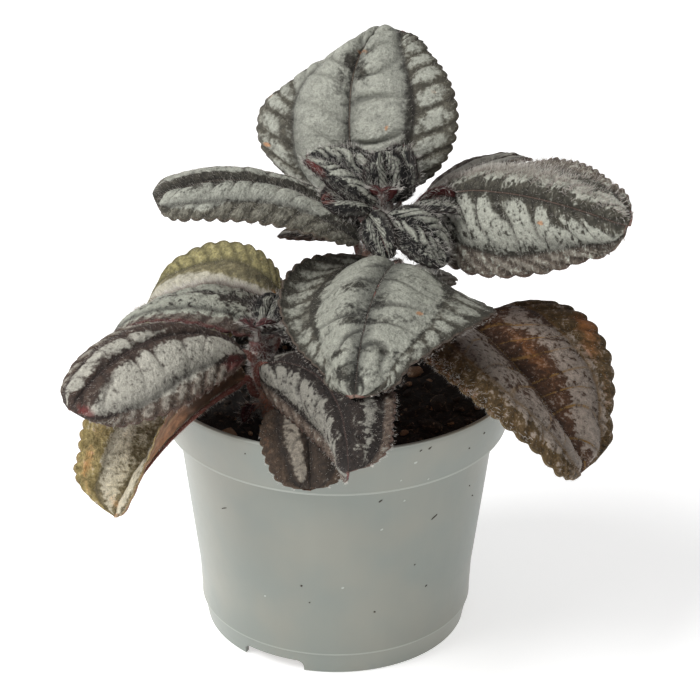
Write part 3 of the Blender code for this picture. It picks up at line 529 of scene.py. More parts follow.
LOOKS = {
    "leaf_top_back": dict(
        teeth=(2, 2), patches=(1.0, 1.2), wander=(-0.1, 0, 0.12), side_vein=0.57, wedge=0.1, cross=0.3,
        crease=1.5, pitch=7.2, midline=0.8, puff=1.7, lean=8, fuzz=40, bright=0.84, patch_gap=1.9,
        left=[(0, 0, 0.6), (0.3, 0, 0.55), (0.5, 0, 0.55), (0.62, 0, 0.85), (0.75, 0, 1), (1, 0, 1)],
        right=[(0, 0, 0.5), (0.5, -0.05, 0.54), (0.8, -0.05, 0.56), (1, 0, 0.5)],
        blots=[
            (0.68, 0.07, 0.05, 0.1, -0.9), (0.62, -0.1, 0.05, 0.08, -0.8), (0.3, 0.62, 0.1, 0.06, -0.6),
            (0.55, 0.1, 0.08, 0.05, -0.5), (0.74, -0.15, 0.02, 0.1, -0.5), (0.92, -0.85, 0.1, 0.22, -0.5),
        ],
        warm=[
            (0.74, -0.02, 0.01, 0.1, 0.9), (0.36, -0.38, 0.015, 0.02, 1), (0.56, -0.8, 0.02, 0.02, 1),
            (0.23, 0.85, 0.015, 0.06, 1), (0.5, 0.9, 0.015, 0.03, 0.7),
        ],
    ),
    "leaf_top_left": dict(
        teeth=(1.4, 1.4), patches=(0.2, 0.2), wander=(-0.15, -0.15, -0.1), side_vein=0.62, creases=9,
        fuzz=90, hair=1.5, bright=0.95, ragged=1.3, streaks=1.2, wedge=0.6,
        left=[
            (0, 0, 0), (0.15, 0.05, 0.3), (0.25, 0, 0.6), (0.6, 0, 0.62), (0.8, 0, 0.85),
            (0.93, 0.1, 0.7), (1, 0.5, 0.5),
        ],
        right=[
            (0, 0.3, 0.3), (0.2, 0.2, 0.3), (0.6, 0.15, 0.35), (0.7, 0.2, 0.9), (0.9, 0.2, 0.9),
            (1, 0.5, 0.5),
        ],
        blots=[
            (0.81, 0.25, 0.04, 0.2, -0.9), (0.7, 0.15, 0.03, 0.2, -0.8), (0.62, 0.05, 0.02, 0.16, -0.6),
        ],
    ),
    "leaf_top_right": dict(
        tone="mauve", teeth=(2, 1), patches=(0.1, 0.3), wander=(0.07, 0.07, 0), side_vein=0.68,
        wedge=0.85, pitch=6.4, creases=8, ragged=2.6, lean=13, streaks=1.0, crease=1.5, cross=0.9,
        midline=0.7, puff=1.1, fuzz=90, hair=1.5,
        left=[
            (0, 0.2, 0.3), (0.1, 0.12, 0.32), (0.4, 0.12, 0.36), (0.7, 0.16, 0.4), (0.9, 0.2, 0.5),
            (1, 0.4, 0.4),
        ],
        right=[
            (0, 0.3, 0.3), (0.1, 0.12, 0.5), (0.2, 0.06, 0.66), (0.8, 0.1, 0.66), (0.93, 0.3, 0.6),
            (1, 0.5, 0.5),
        ],
        blots=[(0.7, -0.15, 0.05, 0.15, -0.7), (0.55, -0.1, 0.04, 0.1, -0.5)],
        warm=[(0.61, -0.28, 0.02, 0.03, 1)],
        tufts=[(0.45, 0.3, 0.5, 0.1, 3.0, 800), (0.5, 0.8, 0.5, 0.3, 2.6, 110)],
    ),
    "leaf_top_right_back": dict(tone="dark", slot="leaf_dark", pitch=4.6, creases=6),
    "leaf_middle_front": dict(
        tone="moss", teeth=(1.6, 1.6), patches=(1.0, 0.9), side_vein=0.62, wedge=0.3, pitch=6.6,
        creases=6, fuzz=50, cross=1.0, crease=1.6, patch_gap=1.9, ragged=1.4, bright=0.77, shade=0.55,
        side_fold=0.3, furrow=0.11,
        left=[(0, -0.1, 0.3), (0.2, -0.1, 0.5), (0.5, -0.05, 0.6), (0.9, -0.05, 0.65), (1, 0.2, 0.5)],
        right=[(0, -0.1, 0.3), (0.2, -0.1, 0.5), (0.6, -0.05, 0.6), (0.9, 0, 0.7), (1, 0.2, 0.5)],
        blots=[
            (0.45, -0.72, 0.12, 0.1, -0.4), (0.9, 0.0, 0.05, 0.6, -0.4), (0.26, 0.25, 0.03, 0.15, -0.3),
            (0.6, -0.15, 0.025, 0.12, -0.9), (0.77, -0.3, 0.02, 0.3, -0.9),
            (0.37, -0.18, 0.04, 0.14, -0.9), (0.52, -0.14, 0.04, 0.2, -0.4), (0.6, 0.2, 0.02, 0.2, -0.6),
            (0.78, 0.4, 0.02, 0.25, -0.6), (0.88, -0.3, 0.04, 0.25, -0.6), (0.45, 0.08, 0.05, 0.06, -0.5),
        ],
        warm=[(0.52, 0.47, 0.018, 0.04, 1)],
    ),
    "leaf_middle_back": dict(tone="dark", slot="leaf_dark", pitch=4.2, creases=5),
    "leaf_low_right": dict(
        tone="bronze", slot="leaf_bronze", patches=(0.05, 0.05), side_vein=0.68, wedge=0.1, creases=9,
        fuzz=40, ragged=2.8, cross=1.8, cover=0.88, deep=0.85, midline=0.8,
        left=[
            (0, 0.8, 0.8), (0.2, 0.25, 0.5), (0.35, 0.38, 0.68), (0.6, 0.35, 0.76), (0.85, 0.15, 0.85),
            (1, 0.5, 0.5),
        ],
        right=[
            (0, 0.5, 0.5), (0.2, 0.1, 0.4), (0.35, 0.16, 0.66), (0.6, 0.2, 0.76), (0.85, 0.2, 0.8),
            (1, 0.5, 0.5),
        ],
        blots=[
            (0.6, -0.45, 0.08, 0.2, -0.5), (0.35, -0.25, 0.1, 0.15, -0.4), (0.76, -0.3, 0.05, 0.3, -0.6),
            (0.9, 0.35, 0.05, 0.25, 0.7), (0.9, -0.4, 0.05, 0.25, 0.6), (0.35, 0.6, 0.15, 0.15, -0.35),
            (0.55, -0.1, 0.3, 0.1, -0.5), (0.8, 0.45, 0.05, 0.1, 0.4),
        ],
        warm=[
            (0.36, 0.92, 0.1, 0.14, 0.8), (0.5, 0.75, 0.08, 0.14, 0.4), (0.72, 0.85, 0.2, 0.1, 0.35),
            (0.42, 0.2, 0.3, 0.12, 0.45), (0.45, -0.97, 0.3, 0.05, 0.5),
        ],
        tufts=[(0.4, -0.97, 0.24, 0.07, 2.0, 500)],
    ),
    "leaf_low_left_back": dict(
        tone="olive", slot="leaf_old", patches=(0, 0), wedge=0.1, cross=0.3, streaks=0.2, bright=0.64,
        creases=8, puff=0.6, fuzz=30, ragged=1.1,
        left=[(0, 0.1, 0.2), (0.2, 0.02, 0.4), (0.8, 0.02, 0.4), (1, 0.2, 0.3)],
        right=[(0, 0.1, 0.2), (0.2, 0.02, 0.3), (0.5, 0.02, 0.36), (0.8, 0.02, 0.42), (1, 0.1, 0.3)],
        blots=[(0.22, -0.42, 0.14, 0.14, -0.8), (0.12, -0.7, 0.08, 0.3, -0.5)],
        warm=[(0.07, -0.3, 0.03, 0.12, 0.7), (0.26, -0.85, 0.02, 0.04, 0.6)],
    ),
    "leaf_low_back": dict(creases=6, pitch=5.0),
    "leaf_lowest_back": dict(tone="dark", slot="leaf_dark", creases=6, pitch=5.0),
    "leaf_side_left": dict(
        tone="dark", teeth=(1.25, 1.25), patches=(0.5, 0.6), wander=(-0.05, -0.1, 0), side_vein=0.7,
        wedge=0.55, hair=1.2, ragged=1.9, bright=0.98,
        left=[
            (0, 0.5, 0.5), (0.2, 0.1, 0.55), (0.3, 0.16, 0.7), (0.5, 0.2, 0.78), (0.8, 0.16, 0.8),
            (1, 0.5, 0.5),
        ],
        right=[
            (0, 0.5, 0.5), (0.35, 0.2, 0.2), (0.5, 0.02, 0.22), (0.7, 0.04, 0.4), (0.9, 0.08, 0.55),
            (1, 0.4, 0.4),
        ],
        blots=[
            (0.2, -0.4, 0.2, 0.3, -0.7), (0.8, -0.12, 0.06, 0.08, -0.6), (0.55, 0.03, 0.1, 0.05, -0.4),
        ],
        warm=[(0.13, 0.75, 0.1, 0.25, 0.9), (0.97, 0.4, 0.03, 0.3, 0.8)],
    ),
    "leaf_side_upper": dict(
        tone="plum", slot="leaf_dark", patches=(0.4, 0.3), puff=0.5, hair=1.8, wedge=0.3, ragged=2.8,
        bright=0.9,
        left=[(0, 0.2, 0.4), (0.2, 0.2, 0.7), (0.8, 0.1, 0.8), (1, 0.3, 0.6)],
        right=[(0, 0.05, 0.4), (0.3, 0.02, 0.8), (0.8, 0.02, 0.8), (1, 0.3, 0.6)],
        blots=[
            (0.3, 0.25, 0.1, 0.1, -0.6), (0.2, 0.8, 0.1, 0.08, -0.5), (0.5, 0.85, 0.1, 0.06, -0.6),
            (0.08, 0, 0.16, 0.9, -1),
        ],
        warm=[(0.5, 1.0, 0.6, 0.09, 1.0), (0.04, 0, 0.1, 0.9, 0.8)],
        tufts=[(0.4, -0.42, 0.5, 0.12, 3.4, 600)],
    ),
    "leaf_side_old": dict(
        tone="old", slot="leaf_old", patches=(0.1, 0.1), pitch=3.9, wedge=0.2, creases=8, puff=0.6,
        fuzz=50, ragged=2.0, patch_gap=0.9, streaks=0.2,
        left=[(0, 0.1, 0.5), (0.5, 0.05, 0.6), (1, 0.1, 0.5)],
        right=[(0, 0.1, 0.5), (0.5, 0.15, 0.55), (0.8, 0.1, 0.6), (1, 0.2, 0.4)],
        blots=[
            # The last blot darkens the base of the left half, whose underside shows, as painted shade
            (0.7, -0.2, 0.2, 0.15, -0.5), (0.45, -0.35, 0.15, 0.15, -0.4), (0.2, 0.6, 0.26, 0.8, -3.4),
        ],
        warm=[(0.85, -0.8, 0.12, 0.12, 0.5), (0.6, -0.75, 0.12, 0.1, 0.4), (0.95, 0, 0.05, 0.8, 0.4)],
    ),
    # Its low deep and bright darken its ground and silver, partly as painted shade under the leaves above
    "leaf_side_front": dict(
        tone="dark", slot="leaf_dark", teeth=(2, 2), patches=(0.1, 0.15), side_vein=0.72, wedge=0.55,
        creases=8, puff=1.2, hair=1.2, ragged=2.8, bright=0.54, deep=0.35,
        left=[
            (0, 0, 0.2), (0.3, 0.5, 0.5), (0.6, 0.5, 0.52), (0.68, 0.42, 0.64), (0.85, 0.4, 0.6),
            (1, 0.5, 0.5),
        ],
        right=[
            (0, 0.1, 0.6), (0.2, 0.12, 0.55), (0.35, 0.1, 0.6), (0.6, 0.13, 0.72), (0.9, 0.2, 0.75),
            (1, 0.4, 0.6),
        ],
        blots=[(0.85, 0.22, 0.08, 0.05, 0.7), (0.75, 0.1, 0.12, 0.1, -0.5), (0.45, 0.4, 0.2, 0.3, -0.5)],
    ),
    "leaf_side_low": dict(
        tone="brown", slot="leaf_bronze", patches=(0, 0), pitch=3.4, wedge=0.1, creases=5, puff=0.8,
        fuzz=40, ragged=1.4, streaks=0.1, bright=0.72, cover=0.85, patch_gap=0.5,
        left=[(0, 0.5, 0.5), (1, 0.5, 0.5)],
        right=[(0, 0.2, 0.34), (0.3, 0.25, 0.5), (0.6, 0.2, 0.54), (0.9, 0.1, 0.44), (1, 0.3, 0.3)],
        blots=[(0.7, -0.02, 0.2, 0.08, -0.3), (0.6, -0.5, 0.5, 0.2, -0.4), (0.6, 0.4, 0.3, 0.3, -0.25)],
        warm=[(0.6, -0.85, 0.2, 0.1, 0.4)],
    ),
}
# Young leaves: their low deep and high shade darken the ground and creases, partly as painted shade in the
# crowded crown
YOUNG_LOOK = dict(
    PLAIN_LOOK, tone="young", side_vein=0.72, pitch=2.4, creases=6, lean=13, fuzz=80, hair=2.6, puff=2.0,
    deep=0.5, left=[(0, 0.3, 0.4), (0.2, 0.08, 0.45), (0.8, 0.08, 0.5), (1, 0.2, 0.4)], wedge=0.9,
    patches=(0.3, 0.3), right=[(0, 0.3, 0.4), (0.2, 0.08, 0.45), (0.8, 0.08, 0.5), (1, 0.2, 0.4)],
    crease=1.6, cross=1.3, ragged=2.6, hair_radius=0.06, furrow=0.3, side_fold=0.5, midline=0.2,
    shade=0.85, bright=0.98,
)
CRIMSON_LOOK = dict(YOUNG_LOOK, tone="crimson")

# Where young leaves are flushed: stem, number of the leaf, warm marks
YOUNG_FLUSH = {("main_stem", 0): [(0.9, 0.8, 0.25, 0.35, 1.3)], ("main_stem", 8): [(0.95, 0, 0.2, 0.6, 1)]}


# Curves of stems and leaves, as the solids have them, apart from the rounder tips


def phase_integral(start, rate, s):
    """Integral of cos(start + rate * s) from 0 to s."""
    if abs(rate) < 1e-6:
        return s * math.cos(start)
    return (np.sin(start + rate * s) - math.sin(start)) / rate


def midrib(leaf, s):
    """Points of the midrib, its direction, and the blade's side and normal, at shares s."""
    rise, bend = math.radians(leaf["rise"]), math.radians(leaf["bend"])
    heading, turn = math.radians(leaf["heading"]), math.radians(leaf["turn"])
    quarter = math.pi / 2
    half = leaf["length"] / 2
    x = phase_integral(rise + heading, bend + turn, s) + phase_integral(rise - heading, bend - turn, s)
    y = phase_integral(rise + heading - quarter, bend + turn, s)
    y = y - phase_integral(rise - heading - quarter, bend - turn, s)
    z = phase_integral(rise - quarter, bend, s)
    points = np.array(leaf["base"]) + np.stack([half * x, half * y, 2 * half * z], -1)
    a = heading + turn * s
    e = rise + bend * s
    along = np.stack([np.cos(e) * np.cos(a), np.cos(e) * np.sin(a), np.sin(e)], -1)
    side = np.stack([-np.sin(a), np.cos(a), np.zeros_like(a)], -1)
    normal = np.cross(along, side)
    r = np.radians(leaf["roll"] + leaf["twist"] * s)[..., None]
    return points, along, side * np.cos(r) + normal * np.sin(r), normal * np.cos(r) - side * np.sin(r)


def tip_rounding(s):
    """0 along most of the blade, then a round end to the tip, as a share of its extra half width."""
    ended = np.clip((s - TIP_MIDDLE) / (1 - TIP_MIDDLE), 0, 1)
    return smoothstep(TIP_START, TIP_MIDDLE, s) * np.sqrt(1 - ended**2)


def half_width(leaf, s, t):
    """Half width of the blade on the side of t, which may be narrower or taper early to the tip."""
    a, b = leaf["shape"]
    widest = a / (a + b)
    share = np.where(t > 0, leaf["left_share"], leaf["right_share"])
    taper = np.where(t > 0, leaf["left_taper"], leaf["right_taper"])
    x = np.clip((s - TAPER_START) / (TAPER_END - TAPER_START), 0, 1)
    width = leaf["width"] / 2 * share * (1 - taper * x * x * (3 - 2 * x))
    width = width * s**a * (1 - s) ** b / (widest**a * (1 - widest) ** b)
    return width + leaf.get("blunt", BLUNT * leaf["width"]) * tip_rounding(s)


def slope(leaf, key, s, t):
    """Slope across one half of the blade, a quadratic through its three angles, in radians."""
    at_base = np.array(leaf[key], float)
    at_tip = np.array(leaf.get(key + "_tip", leaf[key]), float)
    a = at_base[:, None] * (1 - s) + at_tip[:, None] * s
    angle = a[0] * (1 - t) * (1 - 2 * t) + a[1] * 4 * t * (1 - t) + a[2] * t * (2 * t - 1)
    return np.radians(angle)


def blade_points(leaf, s, t):
    """Points of the blade at shares s along it and t across it, with t from -1 to 1."""
    points, _, side, normal = midrib(leaf, s)
    across = np.abs(t)
    out = np.zeros_like(s)
    up = np.zeros_like(s)
    for step in range(SLOPE_STEPS):
        at = across * (step + 0.5) / SLOPE_STEPS
        angle = np.where(t > 0, slope(leaf, "left", s, at), slope(leaf, "right", s, at))
        out += np.cos(angle) * across / SLOPE_STEPS
        up += np.sin(angle) * across / SLOPE_STEPS
    width = half_width(leaf, s, t)
    return points + (np.sign(t) * out * width)[:, None] * side + (up * width)[:, None] * normal


def bezier(p0, p1, p2, p3, u):
    return p0 * (1 - u) ** 3 + p1 * 3 * u * (1 - u) ** 2 + p2 * 3 * u**2 * (1 - u) + p3 * u**3


def smooth_line(points, per_span):
    """A smooth line through the points, by cubic spans with averaged directions."""
    p = [Vector(q) for q in points]
    slopes = [p[1] - p[0]] + [(p[i + 1] - p[i - 1]) / 2 for i in range(1, len(p) - 1)] + [p[-1] - p[-2]]
    line = []
    for i in range(len(p) - 1):
        for step in range(per_span):
            u = step / per_span
            line.append(bezier(p[i], p[i] + slopes[i] / 3, p[i + 1] - slopes[i + 1] / 3, p[i + 1], u))
    return line + [p[-1]]


def stem_axis(stem_name, z):
    points = np.array(smooth_line(STEMS[stem_name]["points"], STEM_STEPS_PER_SPAN))
    return Vector([float(np.interp(z, points[:, 2], points[:, i])) for i in range(3)])


def stem_radius(stem_name, z):
    stem = STEMS[stem_name]
    heights = [stem["points"][0][2], stem["points"][-1][2]]
    return float(np.interp(z, heights, [stem["radius"], stem["tip_radius"]]))


def stalk_path(leaf, start, first_direction, stalk_radius):
    """Stalk from its start to the blade, then the midrib ridge along the blade's underside."""
    base = Vector(leaf["base"])
    _, along, _, _ = midrib(leaf, np.array([0.0]))
    pull = (base - start).length * STALK_BEND_SHARE
    into_blade = Vector(along[0])
    last = STALK_AT_BLADE_RADIUS * stalk_radius / STALK_RADIUS
    points = []
    radii = []
    for step in range(STALK_STEPS + 1):
        u = step / STALK_STEPS
        points.append(bezier(start, start + first_direction * pull, base - into_blade * pull, base, u))
        radii.append(stalk_radius + (last - stalk_radius) * u)
    shares = np.linspace(MIDRIB_START, MIDRIB_REACH, MIDRIB_STEPS)
    ribs, _, _, normals = midrib(leaf, shares)
    for share, rib, up in zip(shares, ribs, normals):
        radius = last + (MIDRIB_END_RADIUS - last) * (share / MIDRIB_REACH) ** MIDRIB_TAPER
        points.append(Vector(rib - up * (radius - MIDRIB_INSET)))
        radii.append(radius)
    return points, radii


def young_stalk(stem_name, leaf):
    """A young leaf's stalk starts on the stem's axis."""
    top = STEMS[stem_name]["points"][-1][2]
    start = stem_axis(stem_name, min(leaf["base"][2] - YOUNG_STALK_DROP, top - YOUNG_STALK_DROP))
    return stalk_path(leaf, start, (Vector(leaf["base"]) - start).normalized(), YOUNG_STALK_RADIUS)


def seated_stalk(leaf):
    """A large leaf's stalk starts at the stem's skin."""
    axis = stem_axis(leaf["stem"], leaf["node_z"])
    outward = Vector(leaf["base"]) - axis
    outward.z = 0
    outward.normalize()
    reach = stem_radius(leaf["stem"], leaf["node_z"]) - TOUCH_GAP
    return stalk_path(leaf, axis + outward * reach, outward, STALK_RADIUS)


# Meshes


def collect(bm, name):
    mesh = bpy.data.meshes.new(name)
    bm.to_mesh(mesh)
    bm.free()
    return mesh


def new_object(name, data):
    obj = bpy.data.objects.new(name, data)
    bpy.context.scene.collection.objects.link(obj)
    return obj


def piece(name, mesh, materials, node=None):
    """A finished piece of the plant, riding on its one body and replacing the node it repeats."""
    mesh.transform(Matrix.Translation(AXIS) @ Matrix.Scale(MM, 4))
    mesh.update()
    obj = new_object(name, mesh)
    for material in materials:
        mesh.materials.append(material)
    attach(obj, "root")
    if node:
        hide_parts(node)


def evaluated_mesh(obj):
    """The mesh that an object's modifiers make, with the object itself removed."""
    depsgraph = bpy.context.evaluated_depsgraph_get()
    mesh = bpy.data.meshes.new_from_object(obj.evaluated_get(depsgraph))
    bpy.data.objects.remove(obj, do_unlink=True)
    return mesh


def temporary(data):
    return new_object(data.name, data)


def turn_all(bm, angle, axis="Z"):
    bmesh.ops.rotate(bm, verts=bm.verts, cent=(0, 0, 0), matrix=Matrix.Rotation(angle, 3, axis))


def move_all(bm, way):
    bmesh.ops.translate(bm, verts=bm.verts, vec=way)


def stretch_all(bm, shares):
    bmesh.ops.scale(bm, verts=bm.verts, vec=shares)


def uneven_ball(subdivisions, radius, unit, uneven, grain, seed):
    """A ball pushed in and out by noise whose grain is counted in units."""
    bm = bmesh.new()
    bmesh.ops.create_icosphere(bm, subdivisions=subdivisions, radius=radius)
    for vert in bm.verts:
        vert.co *= 1 + uneven * noise.noise(vert.co / unit * grain + Vector(seed))
    return bm


def tube(name, points, radii, bevel_resolution=3):
    """A closed round tube along the points."""
    curve = bpy.data.curves.new(name, "CURVE")
    curve.dimensions = "3D"
    curve.bevel_depth = 1.0
    curve.bevel_resolution = bevel_resolution
    curve.use_fill_caps = True
    spline = curve.splines.new("POLY")
    spline.points.add(len(points) - 1)
    for point, place, radius in zip(spline.points, points, radii):
        point.co = (*place, 1.0)
        point.radius = radius
    mesh = evaluated_mesh(temporary(curve))
    bm = bmesh.new()
    bm.from_mesh(mesh)
    bmesh.ops.remove_doubles(bm, verts=bm.verts, dist=TUBE_WELD)
    bmesh.ops.recalc_face_normals(bm, faces=bm.faces)
    for face in bm.faces:
        face.smooth = True
    return collect(bm, name)


def joined(name, meshes, slots=None):
    """Several meshes as one, each with the material slot given for it added to its own."""
    bm = bmesh.new()
    for mesh, slot in zip(meshes, slots or [0] * len(meshes)):
        first = len(bm.faces)
        bm.from_mesh(mesh)
        bm.faces.ensure_lookup_table()
        for face in bm.faces[first:]:
            face.material_index += slot
    return collect(bm, name)


def smoothstep(low, high, value):
    x = np.clip((value - low) / (high - low), 0, 1)
    return x * x * (3 - 2 * x)


def read_points(mesh):
    values = np.zeros(len(mesh.vertices) * 3)
    mesh.vertices.foreach_get("co", values)
    return values.reshape(-1, 3)


def set_attribute(mesh, name, values):
    attribute = mesh.attributes.new(name, "FLOAT", "POINT")
    attribute.data.foreach_set("value", np.asarray(values, np.float32))


def get_attribute(mesh, name):
    values = np.zeros(len(mesh.vertices), np.float32)
    mesh.attributes[name].data.foreach_get("value", values)
    return values.astype(float)


# Leaf surface


def tooth_phase(leaf, look, side):
    """Shares along one margin, and how many outer cells have been passed at each."""
    s = np.linspace(0, 1, MARGIN_STEPS)
    edge = blade_points(leaf, s, np.full_like(s, side))
    run = np.concatenate([[0.0], np.cumsum(np.linalg.norm(np.diff(edge, axis=0), axis=1))])
    count = max(LEAST_TEETH, round(run[-1] / look["pitch"]))
    return s, run / run[-1] * count


def strayed(look, s, t):
    """The share across, counted from the midrib where it strays from the middle."""
    start, middle, end = look["wander"]
    stray = start * (1 - s) * (1 - 2 * s) + middle * 4 * s * (1 - s) + end * s * (2 * s - 1)
    return np.where(t > stray, (t - stray) / (1 - stray), (t - stray) / (1 + stray))


def vein_fields(leaf, look, s, t):
    """Where points lie in the pattern of veins."""
    from_midrib = strayed(look, s, t)
    across = np.abs(from_midrib)
    sway = SIDE_VEIN_SWAY * np.sin(8.0 * s + 2.0 * np.sign(from_midrib))
    side_vein = look["side_vein"] * (1 + sway)
    inner = across / side_vein
    outer = np.clip((across - side_vein) / (1 - side_vein), 0, 1)
    uneven = sum(amount * np.sin(waves * s + more * from_midrib) for amount, waves, more in VEIN_SWAYS)
    lean = look["lean"] / leaf["length"]
    inner_cell = look["creases"] * (s - lean * np.minimum(inner, 1) ** 1.3) + uneven
    inner_cell = inner_cell + np.where(from_midrib > 0, OTHER_HALF_SHIFT, 0.0)
    at_margin = np.clip(s + lean * (1 - outer), 0, 1)
    left = np.interp(at_margin, *tooth_phase(leaf, look, 1.0))
    right = np.interp(at_margin, *tooth_phase(leaf, look, -1.0))
    return dict(
        across=from_midrib,
        along=s,
        inner_cell=inner_cell,
        outer_cell=np.where(t > 0, left, right),
        tooth_cell=np.where(t > 0, left * look["teeth"][0], right * look["teeth"][1]),
        half_width=half_width(leaf, s, t),
        inner=inner,
        outer=outer,
    )


def to_nearest(cell):
    return np.abs(cell - np.round(cell))


def toothed(leaf, fields, t):
    """The share across the blade with the margin cut into rounded teeth that lean to the tip."""
    half = np.maximum(fields["half_width"], 0.01)
    phase = fields["tooth_cell"] % 1.0
    lobe = np.sin(np.pi * phase**1.25) ** 0.6
    depth = np.minimum(TOOTH_DEPTH, TOOTH_SHARE * half) * min(1.0, leaf["width"] / FULL_TOOTH_WIDTH)
    ends = smoothstep(0.0, 0.05, fields["along"]) * smoothstep(0.0, 0.02, 1 - fields["along"])
    cut = depth * (1 - lobe) * ends / half
    return t * (1 - cut * smoothstep(TOOTH_ZONE, 1.0, np.abs(t)))


def crease_at(cell, spacing):
    """1 on a cross vein, fading away from it, where a cell of the pattern is spacing long."""
    return np.exp(-((to_nearest(cell) * spacing / CREASE_WIDTH) ** 2))


def relief(leaf, look, fields):
    """Height of the puckered surface, folded or level at the side vein; adds the field raised."""
    fold = look["side_fold"]
    size = np.clip(fields["half_width"] / FULL_HALF_WIDTH, 0, 1)
    inner = np.minimum(fields["inner"], 1)
    outer = fields["outer"]
    uneven = 0.6 + 0.4 * np.sin(12.9 * np.round(fields["inner_cell"]) + 5.0 * np.sign(fields["across"]))
    uneven = uneven * (1 - 0.5 * inner) * (1 - (1 - fold) * inner**4) * look["crease"]
    crease = CREASE * uneven * crease_at(fields["inner_cell"], leaf["length"] / look["creases"])
    band = fold * np.sin(np.pi * inner**0.85) ** 0.7 + (1 - fold) * smoothstep(0, 0.4, inner)
    band = band * (PUFF - crease)
    depth = OUTER_CREASE * np.minimum(look["patch_gap"] / FULL_PATCH_GAP, 1.0)
    depth = depth * smoothstep(0, 1 - fold + 0.01, outer)
    crease = depth * crease_at(fields["outer_cell"], look["pitch"])
    zone = fold * np.sin(np.pi * outer**0.8 * 0.93) ** 0.6 * (OUTER_PUFF - crease)
    zone = zone + (1 - fold) * (1 - 0.7 * outer**1.5) * (PUFF - crease)
    ends = smoothstep(0.0, 0.06, fields["along"]) * smoothstep(0.0, 0.06, 1 - fields["along"])
    top = fold * OUTER_PUFF + (1 - fold) * PUFF
    fields["raised"] = np.where(fields["inner"] < 1, band / PUFF, zone / top)
    return look["puff"] * size * ends * np.where(fields["inner"] < 1, band, zone)


def lumps(points):
    """Small uneven swellings of the surface."""
    total = 0
    for height, size in LUMPS:
        total = total + height * np.array([noise.noise(p) for p in (points / size).tolist()])
    return total


def marks(fields, places):
    """Soft marks laid over one another."""
    total = np.zeros_like(fields["along"])
    for along, across, reach_along, reach_across, amount in places:
        distance = ((fields["along"] - along) / reach_along) ** 2
        distance = distance + ((fields["across"] - across) / reach_across) ** 2
        total += amount * np.exp(-distance)
    return total


def silver_mask(look, fields):
    """1 in the silver bands, 0 on plain ground, and below 0 on the darkest marks."""
    width = np.abs(fields["across"])
    mask = marks(fields, look["blots"])
    for side, here in (("left", fields["across"] > 0), ("right", fields["across"] <= 0)):
        along, start, stop = np.array(look[side], float).T
        first = np.interp(fields["along"], along, start)
        last = np.interp(fields["along"], along, stop)
        rise = smoothstep(first - BAND_FADE, first + BAND_FADE, width)
        fall = 1 - smoothstep(last - BAND_FADE, last + BAND_FADE, width)
        mask += np.where(here, rise * fall, 0)
    return mask


def row_place(u):
    return 0.5 * u + 0.5 * (0.5 - 0.5 * np.cos(np.pi * u))


def column_place(c):
    return np.sign(c) * np.abs(c) * (0.6 + 0.4 * np.abs(c))


def leaf_sheet(name, leaf, look):
    """The blade as one open sheet with its outline, relief and vein fields."""
    columns = int(np.clip(leaf["width"] / 2 / COLUMN_PITCH, *COLUMN_LIMITS))
    rows = int(np.clip(leaf["length"] / ROW_PITCH, *ROW_LIMITS))
    bm = bmesh.new()
    bmesh.ops.create_grid(bm, x_segments=2 * columns, y_segments=rows, size=0.5)
    mesh = collect(bm, name)
    flat = read_points(mesh)
    s = row_place(np.clip(flat[:, 1] + 0.5, 0, 1))
    t = column_place(np.clip(-2 * flat[:, 0], -1, 1))
    fields = vein_fields(leaf, look, s, t)
    points = blade_points(leaf, s, toothed(leaf, fields, t))
    mesh.vertices.foreach_set("co", points.ravel())
    mesh.update()
    normals = np.zeros(len(points) * 3, np.float32)
    mesh.vertex_normals.foreach_get("vector", normals)
    height = LEAF_THICKNESS / 2 + relief(leaf, look, fields) + lumps(points)
    raised = points + normals.reshape(-1, 3) * height[:, None]
    mesh.vertices.foreach_set("co", raised.ravel())
    fields["silver"] = silver_mask(look, fields)
    fields["warm"] = marks(fields, look["warm"])
    slant = FIBRE_SLANT * np.abs(fields["across"]) * fields["half_width"]
    fields["fibre_along"] = s * leaf["length"] - slant
    fields["fibre_across"] = fields["across"] * fields["half_width"]
    for key in LEAF_FIELDS:
        set_attribute(mesh, key, fields[key])
    bm = bmesh.new()
    bm.from_mesh(mesh)
    bmesh.ops.remove_doubles(bm, verts=bm.verts, dist=WELD)
    for face in bm.faces:
        face.smooth = True
    return collect(bm, name)


def thick_leaf(sheet):
    """The sheet with its thickness; faces below take the second material."""
    obj = temporary(sheet.copy())
    solidify = obj.modifiers.new("thickness", "SOLIDIFY")
    solidify.thickness = LEAF_THICKNESS
    solidify.offset = -1.0
    solidify.material_offset = 1
    for _ in range(2):
        obj.data.materials.append(None)
    return evaluated_mesh(obj)


# Hairs


def scatter(mesh, per_square_cm, rng):
    """Random places on a mesh: their positions, normals, and a lookup for point attributes."""
    mesh.calc_loop_triangles()
    corners = np.zeros(len(mesh.loop_triangles) * 3, np.int32)
    mesh.loop_triangles.foreach_get("vertices", corners)
    corners = corners.reshape(-1, 3)
    points = read_points(mesh)
    a, b, c = (points[corners[:, i]] for i in range(3))
    cross = np.cross(b - a, c - a)
    area = np.linalg.norm(cross, axis=1) / 2
    count = int(per_square_cm * area.sum() / 100)
    chosen = rng.choice(len(area), count, p=area / area.sum())
    u, v = rng.random(count), rng.random(count)
    flip = u + v > 1
    u, v = np.where(flip, 1 - u, u), np.where(flip, 1 - v, v)
    weights = np.stack([1 - u - v, u, v], -1)
    places = (points[corners[chosen]] * weights[..., None]).sum(1)
    normals = cross[chosen] / np.maximum(2 * area[chosen], 1e-9)[:, None]

    def at_places(name):
        return (get_attribute(mesh, name)[corners[chosen]] * weights).sum(1)

    return places, normals, at_places


def unit(vectors):
    return vectors / np.maximum(np.linalg.norm(vectors, axis=-1, keepdims=True), 1e-9)


